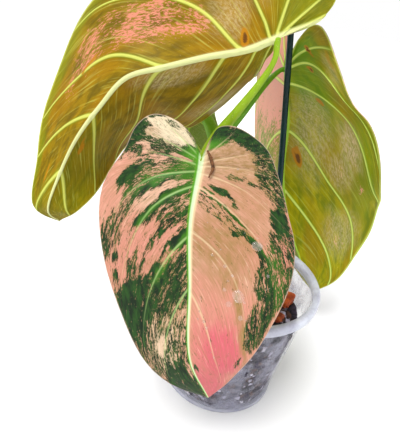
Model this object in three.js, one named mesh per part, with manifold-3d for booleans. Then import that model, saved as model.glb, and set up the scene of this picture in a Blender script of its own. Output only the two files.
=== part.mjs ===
// Potted variegated climbing aroid: four heart-shaped leaves on one stem, a coated stake and a clear cup.
// Millimetres, +Z up. The origin is the centre of the cup's flat underside.
import * as THREE from 'three';
import { mergeVertices } from 'three/addons/utils/BufferGeometryUtils.js';
import Module from 'manifold-3d';

const wasm = await Module();
wasm.setup();

// Driving dimensions of the cup
const cupHeight = 83.3;
const rimRadius = 50;
const rimWidth = 4.6;
const rimDepth = 6;
const rimRounding = 1.4;
const footRadius = 36.8;
const footHeight = 4;
const footFlare = 0.3;
const footBevel = 0.9;
const cupWall = 1;
const floorThickness = 1.6;
const bodyTopRadius = rimRadius - rimWidth + cupWall;
const cupSides = 56;

// Driving dimensions of the filling, and the gap that neighbours keep
const clearance = 0.35;
const mixTop = 60;
const mixShoulder = 4;
const mixRings = 7;
const mixSides = 30;

// Driving dimensions of the leaves
const bladeThickness = 0.8;
const marginThickness = 0.5;
const ribHeight = 1.3;
const ribReach = 0.09;
const ribTaper = 0.8;
const lobeReach = 0.25;
const bendWidth = 0.4;
const tangentReach = 0.1;
const outlineSteps = 34;
const bladeSteps = 5;
const stepCrowding = 1.25;

// Driving dimensions of the stems
const tubeSides = 10;
const capShrink = 0.55;
const capReach = 0.35;

// Helpers for curves

function curveThrough(points) {
  const vectors = points.map((p) => new THREE.Vector3(p[0], p[1] ?? 0, p[2] ?? 0));
  return new THREE.CatmullRomCurve3(vectors, false, 'catmullrom', 0.5);
}

function curveOfValues(values) {
  return curveThrough(values.map((value) => [value, 0, 0]));
}

function clamp01(value) {
  return THREE.MathUtils.clamp(value, 0, 1);
}

// Helpers for solids

function makeMaterial(colour, roughness, options = {}) {
  return new THREE.MeshStandardMaterial({ color: colour, roughness, metalness: 0, ...options });
}

function toManifold(geometry) {
  const bare = geometry.clone();
  bare.deleteAttribute('normal');
  bare.deleteAttribute('uv');
  const merged = mergeVertices(bare, 1e-4);
  return new wasm.Manifold(new wasm.Mesh({
    numProp: 3,
    vertProperties: new Float32Array(merged.attributes.position.array),
    triVerts: new Uint32Array(merged.index.array),
  }));
}

function toGeometry(solid) {
  const mesh = solid.getMesh();
  const geometry = new THREE.BufferGeometry();
  const positions = new Float32Array(mesh.vertProperties);
  geometry.setAttribute('position', new THREE.BufferAttribute(positions, mesh.numProp));
  geometry.setIndex(new THREE.BufferAttribute(new Uint32Array(mesh.triVerts), 1));
  return geometry;
}

function subtractAll(geometry, cutters) {
  let solid = toManifold(geometry);
  for (const cutter of cutters) {
    solid = solid.subtract(toManifold(cutter));
  }
  return toGeometry(solid);
}

// Triangles whose corners have run together are dropped
function closedGeometry(corners, triangles) {
  const geometry = new THREE.BufferGeometry();
  geometry.setAttribute('position', new THREE.Float32BufferAttribute(corners.flatMap((c) => c.toArray()), 3));
  geometry.setIndex(triangles.flat());
  const merged = mergeVertices(geometry, 1e-3);
  const index = merged.index.array;
  const kept = [];
  for (let i = 0; i < index.length; i += 3) {
    const [a, b, c] = [index[i], index[i + 1], index[i + 2]];
    if (a !== b && b !== c && c !== a) {
      kept.push(a, b, c);
    }
  }
  merged.setIndex(kept);
  return merged;
}

// A round stem that follows a curve, with its own radius at each point and softly rounded ends
function stemGeometry(points, radii, steps, extra = 0) {
  const path = curveThrough(points);
  const radiusCurve = curveOfValues(radii);
  const corners = [];
  const triangles = [];
  const rings = [];
  for (let i = 0; i <= steps; i += 1) {
    rings.push({ t: i / steps, scale: 1, reach: 0 });
  }
  rings.unshift({ t: 0, scale: capShrink, reach: -capReach });
  rings.push({ t: 1, scale: capShrink, reach: capReach });
  let side = new THREE.Vector3(1, 0, 0);
  for (const ring of rings) {
    const along = path.getTangent(ring.t);
    const radius = radiusCurve.getPoint(ring.t).x + extra;
    const middle = path.getPoint(ring.t).addScaledVector(along, ring.reach * radius);
    side = side.clone().addScaledVector(along, -side.dot(along)).normalize();
    const other = new THREE.Vector3().crossVectors(along, side);
    for (let k = 0; k < tubeSides; k += 1) {
      const angle = (2 * Math.PI * k) / tubeSides;
      const corner = middle.clone().addScaledVector(side, Math.cos(angle) * radius * ring.scale);
      corners.push(corner.addScaledVector(other, Math.sin(angle) * radius * ring.scale));
    }
  }
  for (let i = 0; i + 1 < rings.length; i += 1) {
    for (let k = 0; k < tubeSides; k += 1) {
      const a = i * tubeSides + k;
      const b = i * tubeSides + ((k + 1) % tubeSides);
      triangles.push([a, b, b + tubeSides], [a, b + tubeSides, a + tubeSides]);
    }
  }
  const last = (rings.length - 1) * tubeSides;
  for (let k = 1; k + 1 < tubeSides; k += 1) {
    triangles.push([0, k + 1, k], [last, last + k, last + k + 1]);
  }
  return closedGeometry(corners, triangles);
}

// Leaf blades. A blade is drawn flat, in millimetres from the petiole's attachment (0, 0) with the tip at
// (0, length), one outline for each side. It is then bent: its rib follows a spine in space, each half leaves
// the rib at a fold angle and turns on by the curl angle over its width.

// Where on the rib the curve to each point of the outline starts, as a share of the length
const ribStarts = [0, 0, 0, 0, 0.01, 0.04, 0.1, 0.19, 0.31, 0.45, 0.61, 0.8, 1];

// How that curve arches: its middle handle's share of the way, and its swing out and down past the lobes
const arch = { share: 0.55, out: 0.1, down: 0.16, from: 0.3, over: 0.2 };

class Blade {
  constructor({ spine, face, roll, fold, curl, outline }) {
    this.spine = curveThrough(spine);
    this.segments = spine.length - 1;
    this.extension = new THREE.Vector3(...spine[1]).sub(new THREE.Vector3(...spine[0]));
    this.face = new THREE.Vector3(...face);
    this.roll = curveOfValues(roll);
    this.fold = fold.map(curveOfValues);
    this.curl = curl.map(curveOfValues);
    this.outline = outline.map(curveThrough);
    this.length = outline[0].at(-1)[1];
  }

  // The rib's point, direction, sideways direction and upper-face direction at a height y of the flat drawing
  frameAt(y) {
    const share = y / this.length;
    const t = (share * (this.segments - 1) + 1) / this.segments;
    const onSpine = clamp01(t);
    const middle = this.spine.getPoint(onSpine);
    middle.addScaledVector(this.extension, Math.min(t, 0) * this.segments);
    const ahead = this.spine.getPoint(clamp01(onSpine + tangentReach));
    const along = ahead.sub(this.spine.getPoint(clamp01(onSpine - tangentReach))).normalize();
    const bend = clamp01((share + lobeReach) / (1 + lobeReach));
    const flatUp = this.face.clone().addScaledVector(along, -this.face.dot(along)).normalize();
    const flatAcross = new THREE.Vector3().crossVectors(along, flatUp);
    const roll = THREE.MathUtils.degToRad(this.roll.getPoint(bend).x);
    const up = flatUp.multiplyScalar(Math.cos(roll)).addScaledVector(flatAcross, Math.sin(roll));
    const across = new THREE.Vector3().crossVectors(along, up);
    return { middle, across, up, bend };
  }

  pointAt(x, y, side) {
    const { middle, across, up, bend } = this.frameAt(y);
    const fold = THREE.MathUtils.degToRad(this.fold[side].getPoint(bend).x);
    const curl = THREE.MathUtils.degToRad(this.curl[side].getPoint(bend).x);
    const rate = (Math.abs(curl) < 1e-6 ? 1e-6 : curl) / (bendWidth * this.length);
    const reach = (Math.sin(fold + rate * x) - Math.sin(fold)) / rate;
    const lift = (Math.cos(fold) - Math.cos(fold + rate * x)) / rate;
    const direction = side === 0 ? 1 : -1;
    return middle.addScaledVector(across, direction * reach).addScaledVector(up, lift);
  }

  normalAt(x, y, side) {
    if (x < 1e-6) {
      return this.frameAt(y).up;
    }
    const step = 0.05;
    const middle = this.pointAt(x, y, side);
    const byX = this.pointAt(x + step, y, side).sub(middle);
    const byY = this.pointAt(x, y + step, side).sub(middle);
    const normal = new THREE.Vector3().crossVectors(byX, byY).normalize();
    return side === 0 ? normal : normal.negate();
  }

  // A point of the flat drawing: a runs along the outline from sinus to tip, b from the rib to the margin
  flatAt(a, b, side) {
    const margin = this.outline[side].getPoint(a);
    const station = a * (ribStarts.length - 1);
    const low = Math.min(Math.floor(station), ribStarts.length - 2);
    const start = THREE.MathUtils.lerp(ribStarts[low], ribStarts[low + 1], station - low) * this.length;
    const reachX = margin.x;
    const reachY = margin.y - start;
    const reach = Math.hypot(reachX, reachY);
    const sweep = reach * clamp01((a - arch.from) / arch.over);
    const handleX = arch.share * reachX + arch.out * sweep;
    const handleY = start + arch.share * reachY - arch.down * sweep;
    const [atRib, atHandle, atMargin] = [(1 - b) ** 2, 2 * (1 - b) * b, b * b];
    return {
      x: atHandle * handleX + atMargin * margin.x,
      y: atRib * start + atHandle * handleY + atMargin * margin.y,
    };
  }

  // Where a petiole's end stops short of the under face, with the joining knob's height between them
  joint(endRadius) {
    const { middle, up } = this.frameAt(0);
    return middle.addScaledVector(up, -(bladeThickness + ribHeight + 3 * clearance + capReach * endRadius));
  }

  geometry() {
    const corners = [];
    const triangles = [];
    const rows = outlineSteps + 1;
    const columns = bladeSteps + 1;
    const perSheet = rows * columns;
    for (const side of [0, 1]) {
      for (const face of [1, -1]) {
        for (let i = 0; i < rows; i += 1) {
          for (let j = 0; j < columns; j += 1) {
            const b = (j / bladeSteps) ** stepCrowding;
            const flat = this.flatAt(i / outlineSteps, b, side);
            const half = THREE.MathUtils.lerp(bladeThickness, marginThickness, b) / 2;
            const ribShare = clamp01(1 - flat.x / (ribReach * this.length)) ** 2;
            const ribSize = ribHeight * (1 - ribTaper * clamp01(flat.y / this.length));
            const offset = face > 0 ? half : -half - ribShare * ribSize;
            const normal = this.normalAt(flat.x, flat.y, side);
            corners.push(this.pointAt(flat.x, flat.y, side).addScaledVector(normal, offset));
          }
        }
      }
    }
    const push = (flip, a, b, c) => triangles.push(flip ? [a, c, b] : [a, b, c]);
    for (const side of [0, 1]) {
      const upper = side * 2 * perSheet;
      const under = upper + perSheet;
      for (let i = 0; i + 1 < rows; i += 1) {
        for (let j = 0; j + 1 < columns; j += 1) {
          const p = i * columns + j;
          const flip = side === 1;
          push(flip, upper + p, upper + p + 1, upper + p + columns + 1);
          push(flip, upper + p, upper + p + columns + 1, upper + p + columns);
          push(!flip, under + p, under + p + 1, under + p + columns + 1);
          push(!flip, under + p, under + p + columns + 1, under + p + columns);
        }
        const edge = i * columns + bladeSteps;
        push(side === 0, upper + edge, under + edge + columns, under + edge);
        push(side === 0, upper + edge, upper + edge + columns, under + edge + columns);
      }
    }
    return closedGeometry(corners, triangles);
  }
}

// The four leaves. The spine's first point lies behind the attachment and its last one is the tip.

const frontBlade = new Blade({
  spine: [[-36, -33, 194], [-34, -35, 166], [-34, -46, 139], [-29, -56, 109], [-23, -66, 74], [-9, -64, 45]],
  face: [0, -1, 0.25],
  roll: [1, 1, 3],
  fold: [[8, 9, 8, 5], [9, 8, 10, 8]],
  curl: [[-22, -25, -25, -14], [-20, -27, -18, -13]],
  outline: [
    [[0, 0], [5, -11], [13, -19], [23, -21], [31, -13], [36, 3], [43, 22], [43, 42], [39, 64], [31, 83],
      [20, 102], [11, 117], [0, 131]],
    [[0, 0], [3, -11], [7, -18], [16, -18], [28, -10], [36, 3], [44, 20], [49, 40], [48, 61], [38, 84],
      [27, 105], [14, 120], [0, 131]],
  ],
});

const sideBlade = new Blade({
  spine: [[2, 32, 230], [4, 44, 198], [14, 51, 166], [20, 56, 130], [32, 59, 95], [49, 61, 64], [67, 61, 35]],
  face: [0.5, 0.87, 0.1],
  roll: [17, 10, 4],
  fold: [[-4, -3, 16, 7], [30, 23, 26, 15]],
  curl: [[-6, -9, 10, 11], [29, 19, 20, 15]],
  outline: [
    [[0, 0], [4, -20], [13, -33], [24, -31], [42, -16], [56, 4], [64, 29], [65, 59], [61, 91], [54, 121],
      [38, 147], [21, 166], [0, 177]],
    [[0, 0], [5, -18], [18, -30], [36, -33], [53, -22], [66, -1], [71, 25], [69, 55], [61, 86], [47, 114],
      [30, 139], [13, 159], [0, 177]],
  ],
});

const upperBlade = new Blade({
  spine: [[3, 1, 224], [-10, -6.5, 218], [-23, -8, 211], [-40, -7, 205], [-59, -6, 197], [-77, -7, 189],
    [-89, -8, 173], [-99, -12, 156], [-106, -15, 138], [-111, -21, 117], [-108, -12, 105]],
  face: [-0.1, 1, 0.2],
  roll: [-9, 24, 1],
  fold: [[37, 45, 36, 50, 1], [4, 4, 12, 21, 1]],
  curl: [[45, 56, 45, 48, 25], [26, 30, 36, 39, 25]],
  outline: [
    [[0, 0], [6, 0], [12, 2], [19, 6], [30, 11], [45, 17], [57, 29], [62, 55], [55, 81], [45, 110], [30, 134],
      [16, 153], [0, 170]],
    [[0, 0], [1, -27], [10, -39], [28, -40], [47, -26], [59, -4], [64, 22], [59, 52], [48, 82], [33, 109],
      [16, 134], [8, 155], [0, 170]],
  ],
});

const backBlade = new Blade({
  spine: [[-48, 50, 182], [-48, 54, 165], [-47, 58, 147], [-46, 62, 126], [-46, 65, 104], [-48, 66, 82]],
  face: [0, 1, 0.25],
  roll: [0, 0, 0],
  fold: [[8, 10, 10, 5], [8, 10, 10, 5]],
  curl: [[15, 18, 18, 10], [15, 18, 18, 10]],
  outline: [
    [[0, 0], [2, -7], [6, -11], [11, -9], [14, -2], [16, 8], [19, 18], [23, 29], [24, 41], [20, 54], [13, 67],
      [5, 77], [0, 85]],
    [[0, 0], [3, -8], [8, -12], [15, -12], [22, -7], [27, 2], [30, 13], [30, 27], [27, 41], [21, 55], [13, 67],
      [5, 77], [0, 85]],
  ],
});

// The stem, the petioles and what stands in the mix, by their middle lines and the radii along them

const stemPath = [[-6, 3, 24], [-7, 2, 62], [-14, 0, 98], [-24, -3, 128], [-33, -5, 147]];
const stemRadii = [4.6, 4.8, 4.6, 4.4, 3.2];
const stemSteps = 16;

// Each petiole runs on from its last point to its blade's attachment
const petioles = {
  upper_petiole: {
    blade: upperBlade,
    points: [[-32, -5, 141], [-33, -7, 155], [-29, -8, 168], [-21, -8, 183], [-13, -7, 198], [-9, -8, 209]],
    radii: [3.4, 3.6, 3.3, 2.6, 2, 1.6, 1.7],
  },
  side_petiole: {
    blade: sideBlade,
    points: [[-27, -4, 134], [-29, 3, 150], [-26, 6, 162], [-17, 14, 177], [-8, 27, 190], [-1, 38, 196.5]],
    radii: [3.2, 3.2, 2.9, 2.4, 2, 1.6, 1.7],
  },
  front_petiole: {
    blade: frontBlade,
    points: [[-29, -5, 132], [-32, -14, 143], [-34, -24, 156]],
    radii: [3, 2.8, 2.3, 1.8],
  },
  back_petiole: {
    blade: backBlade,
    points: [[-16, -1, 104], [-19, 12, 122], [-25, 32, 141], [-32, 46, 153], [-39, 50, 161]],
    radii: [2.8, 3, 3.8, 4.1, 3.2, 1.8],
  },
};
const petioleSteps = 12;

const aerialRoots = [
  [[-11, -1, 88], [-17, -9, 80], [-20, -15, 66], [-19, -18, 50]],
  [[-9, 3, 78], [-12, 11, 72], [-17, 17, 62], [-19, 20, 48]],
  [[-20, -2, 116], [-10, -8, 100], [-3, -13, 80], [0, -16, 50]],
];
const rootRadii = [1.6, 1.5, 1.3, 1];
const rootSteps = 8;

const stakeBase = new THREE.Vector3(30.2, -7.7, 22);
const stakeTop = new THREE.Vector3(-2.7, 26.2, 230);
const stakeRadius = 1.95;
const stakeTipHeight = 2.5;

// The bark chips: middle, size and turn in degrees. Each one lies on the highest point of the mix under it.
const chips = [
  { at: [34, 7], size: [15, 9, 5], turn: 65 },
  { at: [24, -11], size: [13, 8, 5], turn: -20 },
  { at: [27, 21], size: [12, 8, 4.5], turn: 30 },
  { at: [10, -30], size: [14, 9, 5], turn: 10 },
  { at: [12, 27], size: [13, 8, 4.5], turn: -35 },
  { at: [8, 5], size: [11, 8, 4.5], turn: 50 },
  { at: [-19, 30], size: [13, 8, 5], turn: 15 },
  { at: [-33, -12], size: [12, 8, 5], turn: 75 },
  { at: [-35, 12], size: [11, 7, 4.5], turn: 100 },
  { at: [-10, -37], size: [10, 7, 4], turn: -10 },
];

// The dry sheath on the front leaf, on points of the leaf's flat drawing, and how far it stands off the blade
const sheathFlat = [[2.5, -5], [4.5, -1], [6, 4], [5, 9]];
const sheathRadii = [0.5, 0.9, 0.8, 0.45];
const sheathLift = 1.8;

// The cup

const holeCircle = 25;
const holeRadius = 2.6;
const holeCount = 6;
const slotHeight = 5;
const slotWidth = 1.4;
const slotCount = 8;
const slotLevel = 40;
const slotTurn = 0.4;

function bodyRadius(z) {
  const share = clamp01((z - footHeight) / (cupHeight - footHeight));
  return THREE.MathUtils.lerp(footRadius, bodyTopRadius, share);
}

function cupGeometry() {
  const under = cupHeight - rimDepth;
  const inner = bodyTopRadius - cupWall;
  const profile = [
    [0, 0],
    [footRadius + footFlare - footBevel, 0],
    [footRadius + footFlare, footBevel],
    [footRadius + footFlare, footHeight],
    [bodyRadius(footHeight + cupWall), footHeight + cupWall],
    [bodyRadius(under), under],
    [rimRadius - rimRounding, under],
    [rimRadius, under + rimRounding],
    [rimRadius, cupHeight - rimRounding],
    [rimRadius - rimRounding, cupHeight],
    [inner + rimRounding, cupHeight],
    [inner, cupHeight - rimRounding],
    [bodyRadius(footHeight) - cupWall, footHeight],
    [bodyRadius(0) - 2 * cupWall, floorThickness],
    [0, floorThickness],
  ].map(([radius, z]) => new THREE.Vector2(radius, z));
  const shell = new THREE.LatheGeometry(profile, cupSides).rotateX(Math.PI / 2);
  const cutters = [];
  for (let i = 0; i < holeCount; i += 1) {
    const angle = (2 * Math.PI * i) / holeCount;
    const hole = new THREE.CylinderGeometry(holeRadius, holeRadius, 3 * floorThickness, 12);
    hole.rotateX(Math.PI / 2);
    hole.translate(holeCircle * Math.cos(angle), holeCircle * Math.sin(angle), floorThickness);
    cutters.push(hole);
  }
  for (let i = 0; i < slotCount; i += 1) {
    const slot = new THREE.BoxGeometry(4 * cupWall, slotWidth, slotHeight);
    slot.translate(bodyRadius(slotLevel) - cupWall / 2, 0, slotLevel);
    slot.rotateZ((2 * Math.PI * (i + slotTurn)) / slotCount);
    cutters.push(slot);
  }
  return subtractAll(shell, cutters);
}

// The potting mix: a body that fills the cup up to a lumpy top

// Ripples of the top: height, and turns of the wave along x and along y
const mixRipples = [
  { height: 1.1, byX: 0.17, byY: 0.11 },
  { height: 0.8, byX: -0.12, byY: 0.24 },
  { height: 0.5, byX: 0.41, byY: -0.33 },
  { height: 0.4, byX: 0.29, byY: 0.57 },
];

function mixHeight(x, y) {
  const ripple = ({ height, byX, byY }) => height * Math.sin(byX * x + byY * y);
  return mixRipples.reduce((z, wave) => z + ripple(wave), mixTop);
}

function mixGeometry() {
  const bottom = floorThickness + clearance;
  const sideAt = (z) => bodyRadius(z) - cupWall - 2 * clearance;
  const shoulder = mixTop - mixShoulder;
  const levels = [footHeight + clearance, shoulder / 3, (2 * shoulder) / 3];
  const corners = [new THREE.Vector3(0, 0, bottom)];
  const rings = levels.map((level) => [sideAt(level), level]);
  rings.unshift([footRadius - footHeight - cupWall, bottom]);
  for (const [radius, z] of rings) {
    for (let k = 0; k < mixSides; k += 1) {
      const angle = (2 * Math.PI * k) / mixSides;
      corners.push(new THREE.Vector3(radius * Math.cos(angle), radius * Math.sin(angle), z));
    }
  }
  for (let i = 0; i < mixRings; i += 1) {
    const radius = sideAt(shoulder) * (1 - i / mixRings);
    for (let k = 0; k < mixSides; k += 1) {
      const angle = (2 * Math.PI * k) / mixSides;
      const [x, y] = [radius * Math.cos(angle), radius * Math.sin(angle)];
      corners.push(new THREE.Vector3(x, y, i === 0 ? shoulder : mixHeight(x, y)));
    }
  }
  const top = corners.length;
  corners.push(new THREE.Vector3(0, 0, mixHeight(0, 0)));
  const ringCount = rings.length + mixRings;
  const triangles = [];
  for (let k = 0; k < mixSides; k += 1) {
    const next = (k + 1) % mixSides;
    triangles.push([0, 1 + next, 1 + k]);
    for (let i = 0; i + 1 < ringCount; i += 1) {
      const [a, b] = [1 + i * mixSides + k, 1 + i * mixSides + next];
      triangles.push([a, b, b + mixSides], [a, b + mixSides, a + mixSides]);
    }
    const last = 1 + (ringCount - 1) * mixSides;
    triangles.push([last + k, last + next, top]);
  }
  return closedGeometry(corners, triangles);
}

// A bark chip: a rough flat lump with blunt corners

const chipBluntness = 0.6;
const chipRoughness = 0.16;
const chipFullness = 0.87;

function chipGeometry({ at, size, turn }, seed) {
  const ball = new THREE.IcosahedronGeometry(1, 1).deleteAttribute('normal').deleteAttribute('uv');
  const geometry = mergeVertices(ball);
  const position = geometry.attributes.position;
  for (let i = 0; i < position.count; i += 1) {
    const wobble = 1 + chipRoughness * Math.sin(7.3 * i + 2.1 * seed);
    const shape = (value) => Math.sign(value) * Math.abs(value) ** chipBluntness * wobble;
    position.setXYZ(i, shape(position.getX(i)), shape(position.getY(i)), shape(position.getZ(i)));
  }
  geometry.scale(...size.map((width) => (chipFullness * width) / 2));
  geometry.rotateZ(THREE.MathUtils.degToRad(turn));
  let ground = 0;
  for (let i = 0; i < position.count; i += 1) {
    ground = Math.max(ground, mixHeight(at[0] + position.getX(i), at[1] + position.getY(i)));
  }
  geometry.computeBoundingBox();
  geometry.translate(at[0], at[1], ground + clearance - geometry.boundingBox.min.z);
  return geometry;
}

function stakeGeometry(extra = 0) {
  const length = stakeTop.distanceTo(stakeBase);
  const radius = stakeRadius + extra;
  const profile = [
    [0, 0],
    [radius * capShrink, stakeTipHeight / 4],
    [radius, stakeTipHeight],
    [radius, length - stakeTipHeight],
    [radius * capShrink, length - stakeTipHeight / 4],
    [0, length],
  ].map(([r, y]) => new THREE.Vector2(r, y));
  const geometry = new THREE.LatheGeometry(profile, tubeSides);
  const direction = stakeTop.clone().sub(stakeBase).normalize();
  geometry.applyQuaternion(new THREE.Quaternion().setFromUnitVectors(new THREE.Vector3(0, 1, 0), direction));
  return geometry.translate(...stakeBase.toArray());
}

// Everything together

const finishes = {
  cup: makeMaterial(0xc8cddc, 0.35, { transparent: true, opacity: 0.5 }),
  stem: makeMaterial(0x7d9440, 0.55),
  petiole: makeMaterial(0x96d200, 0.45),
  root: makeMaterial(0x8a6a3c, 0.7),
  stake: makeMaterial(0x003c3c, 0.4),
  mix: makeMaterial(0x463c50, 0.95),
  bark: makeMaterial(0xaa460a, 0.85),
  frontLeaf: makeMaterial(0xd8a58c, 0.45),
  sideLeaf: makeMaterial(0x78820a, 0.5),
  upperLeaf: makeMaterial(0x8c7300, 0.5),
  backLeaf: makeMaterial(0x55641e, 0.5),
  drySheath: makeMaterial(0x7a4a28, 0.8),
};

const plant = new THREE.Group();

function addPiece(name, geometry, finish) {
  const piece = new THREE.Mesh(geometry, finish.clone());
  piece.name = name;
  plant.add(piece);
}

addPiece('cup', cupGeometry(), finishes.cup);

const fatStem = stemGeometry(stemPath, stemRadii, stemSteps, clearance);
addPiece('stem', stemGeometry(stemPath, stemRadii, stemSteps), finishes.stem);

for (const [name, { blade, points, radii }] of Object.entries(petioles)) {
  const path = [...points, blade.joint(radii.at(-1)).toArray()];
  addPiece(name, subtractAll(stemGeometry(path, radii, petioleSteps), [fatStem]), finishes.petiole);
}

aerialRoots.forEach((points, i) => {
  const root = subtractAll(stemGeometry(points, rootRadii, rootSteps), [fatStem]);
  addPiece(`aerial_root_${i + 1}`, root, finishes.root);
});

addPiece('stake', stakeGeometry(), finishes.stake);

const pockets = [
  fatStem,
  stakeGeometry(clearance),
  ...aerialRoots.map((points) => stemGeometry(points, rootRadii, rootSteps, clearance)),
];
addPiece('potting_mix', subtractAll(mixGeometry(), pockets), finishes.mix);

chips.forEach((chip, i) => {
  addPiece(`bark_chip_${String(i + 1).padStart(2, '0')}`, chipGeometry(chip, i), finishes.bark);
});

addPiece('front_leaf', frontBlade.geometry(), finishes.frontLeaf);
addPiece('side_leaf', sideBlade.geometry(), finishes.sideLeaf);
addPiece('upper_leaf', upperBlade.geometry(), finishes.upperLeaf);
addPiece('back_leaf', backBlade.geometry(), finishes.backLeaf);

const sheathPath = sheathFlat.map(([x, y]) => {
  const lifted = frontBlade.pointAt(x, y, 1).addScaledVector(frontBlade.normalAt(x, y, 1), sheathLift);
  return lifted.toArray();
});
addPiece('dry_sheath', stemGeometry(sheathPath, sheathRadii, petioleSteps), finishes.drySheath);

export default plant;
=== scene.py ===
import math

import bmesh
import bpy
import numpy as np
from mathutils import Matrix, Vector


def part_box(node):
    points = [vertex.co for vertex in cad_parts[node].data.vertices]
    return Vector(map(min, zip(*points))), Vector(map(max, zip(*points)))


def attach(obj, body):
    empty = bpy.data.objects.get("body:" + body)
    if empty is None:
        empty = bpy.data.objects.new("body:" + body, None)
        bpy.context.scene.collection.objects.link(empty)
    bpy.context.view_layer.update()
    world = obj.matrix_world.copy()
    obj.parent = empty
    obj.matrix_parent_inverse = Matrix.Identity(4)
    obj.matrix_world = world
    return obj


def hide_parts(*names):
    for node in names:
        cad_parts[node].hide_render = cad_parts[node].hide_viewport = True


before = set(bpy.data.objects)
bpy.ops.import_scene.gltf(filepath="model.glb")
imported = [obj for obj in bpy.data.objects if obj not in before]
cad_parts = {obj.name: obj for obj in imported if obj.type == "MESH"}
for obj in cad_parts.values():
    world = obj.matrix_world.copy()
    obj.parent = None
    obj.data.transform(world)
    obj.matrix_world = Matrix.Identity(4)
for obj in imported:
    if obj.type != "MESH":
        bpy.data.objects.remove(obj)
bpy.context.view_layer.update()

MM = 0.001
BODY = "root"


# Numbers and curves


def clamp01(value):
    return np.clip(value, 0.0, 1.0)


def smooth(low, high, value):
    share = clamp01((value - low) / (high - low))
    return share * share * (3 - 2 * share)


def lerp(a, b, share):
    return a + (b - a) * share


def through(points, t):
    """A uniform Catmull-Rom curve through the points, at t from 0 to 1."""
    knots = np.asarray(points, float)
    knots = knots[:, None] if knots.ndim == 1 else knots
    count = len(knots) - 1
    ends = np.vstack([2 * knots[0] - knots[1], knots, 2 * knots[-1] - knots[-2]])
    t = clamp01(np.asarray(t, float)) * count
    low = np.minimum(t.astype(int), count - 1)
    f = (t - low)[..., None]
    a, b, c, d = ends[low], ends[low + 1], ends[low + 2], ends[low + 3]
    return 0.5 * (2 * b + (c - a) * f + (2 * a - 5 * b + 4 * c - d) * f**2 + (3 * b - a - 3 * c + d) * f**3)


def unit(vectors):
    return vectors / np.maximum(np.linalg.norm(vectors, axis=-1, keepdims=True), 1e-12)


def spin(angle):
    """The matrix of a turn about the vertical."""
    across, along = math.cos(angle), math.sin(angle)
    return np.array([[across, -along, 0], [along, across, 0], [0, 0, 1]])


LATTICE_SIZE = 64
LATTICE = np.random.default_rng(11).random((LATTICE_SIZE, LATTICE_SIZE))


def wavy(u, v):
    """Soft seeded noise from 0 to 1, one bump per unit."""
    low_u, low_v = np.floor(u).astype(int), np.floor(v).astype(int)
    fu, fv = u - low_u, v - low_v
    fu, fv = fu * fu * (3 - 2 * fu), fv * fv * (3 - 2 * fv)
    near, far = [
        lerp(LATTICE[low_u % LATTICE_SIZE, row], LATTICE[(low_u + 1) % LATTICE_SIZE, row], fu)
        for row in (low_v % LATTICE_SIZE, (low_v + 1) % LATTICE_SIZE)
    ]
    return lerp(near, far, fv)


# Meshes


def grid_quads(grid, closed=False):
    """The faces of a grid of corners. A closed grid joins its last column to its first."""
    beside = np.roll(grid, -1, axis=1)
    quads = np.stack([grid[:-1], beside[:-1], beside[1:], grid[1:]], -1)
    return (quads if closed else quads[:, :-1]).reshape(-1, 4)


def ring_faces(rings, sides):
    """The faces of a body of rings of corners, with a flat face over the first and the last ring."""
    grid = np.arange(rings * sides).reshape(rings, sides)
    return grid_quads(grid, True).tolist() + [grid[0][::-1].tolist(), grid[-1].tolist()]


def make_object(name, corners, faces, slots=(), face_slots=None):
    mesh = bpy.data.meshes.new(name)
    mesh.from_pydata((np.asarray(corners) * MM).tolist(), [], [tuple(face) for face in faces])
    for material in slots:
        mesh.materials.append(material)
    if face_slots is not None:
        mesh.polygons.foreach_set("material_index", face_slots)
    mesh.polygons.foreach_set("use_smooth", [True] * len(mesh.polygons))
    mesh.update()
    made = bpy.data.objects.new(name, mesh)
    bpy.context.scene.collection.objects.link(made)
    return made


def add_values(made, name, values):
    layer = made.data.attributes.new(name, "FLOAT", "POINT")
    layer.data.foreach_set("value", np.asarray(values, np.float32))


def add_map(made, name, places):
    """A UV map from one place for each corner of the mesh."""
    layer = made.data.uv_layers.new(name=name)
    loops = np.zeros(len(made.data.loops), int)
    made.data.loops.foreach_get("vertex_index", loops)
    layer.data.foreach_set("uv", np.asarray(places, np.float32)[loops].ravel())


def finish_piece(made, slot, *nodes):
    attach(made, BODY)
    if nodes:
        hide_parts(*nodes)


# Materials


def colour(red, green, blue):
    """A colour given as the eye reads it, from 0 to 255, as Blender's linear values."""
    shares = [value / 255 for value in (red, green, blue)]
    linear = [s / 12.92 if s <= 0.04045 else ((s + 0.055) / 1.055) ** 2.4 for s in shares]
    return (*linear, 1.0)


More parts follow.
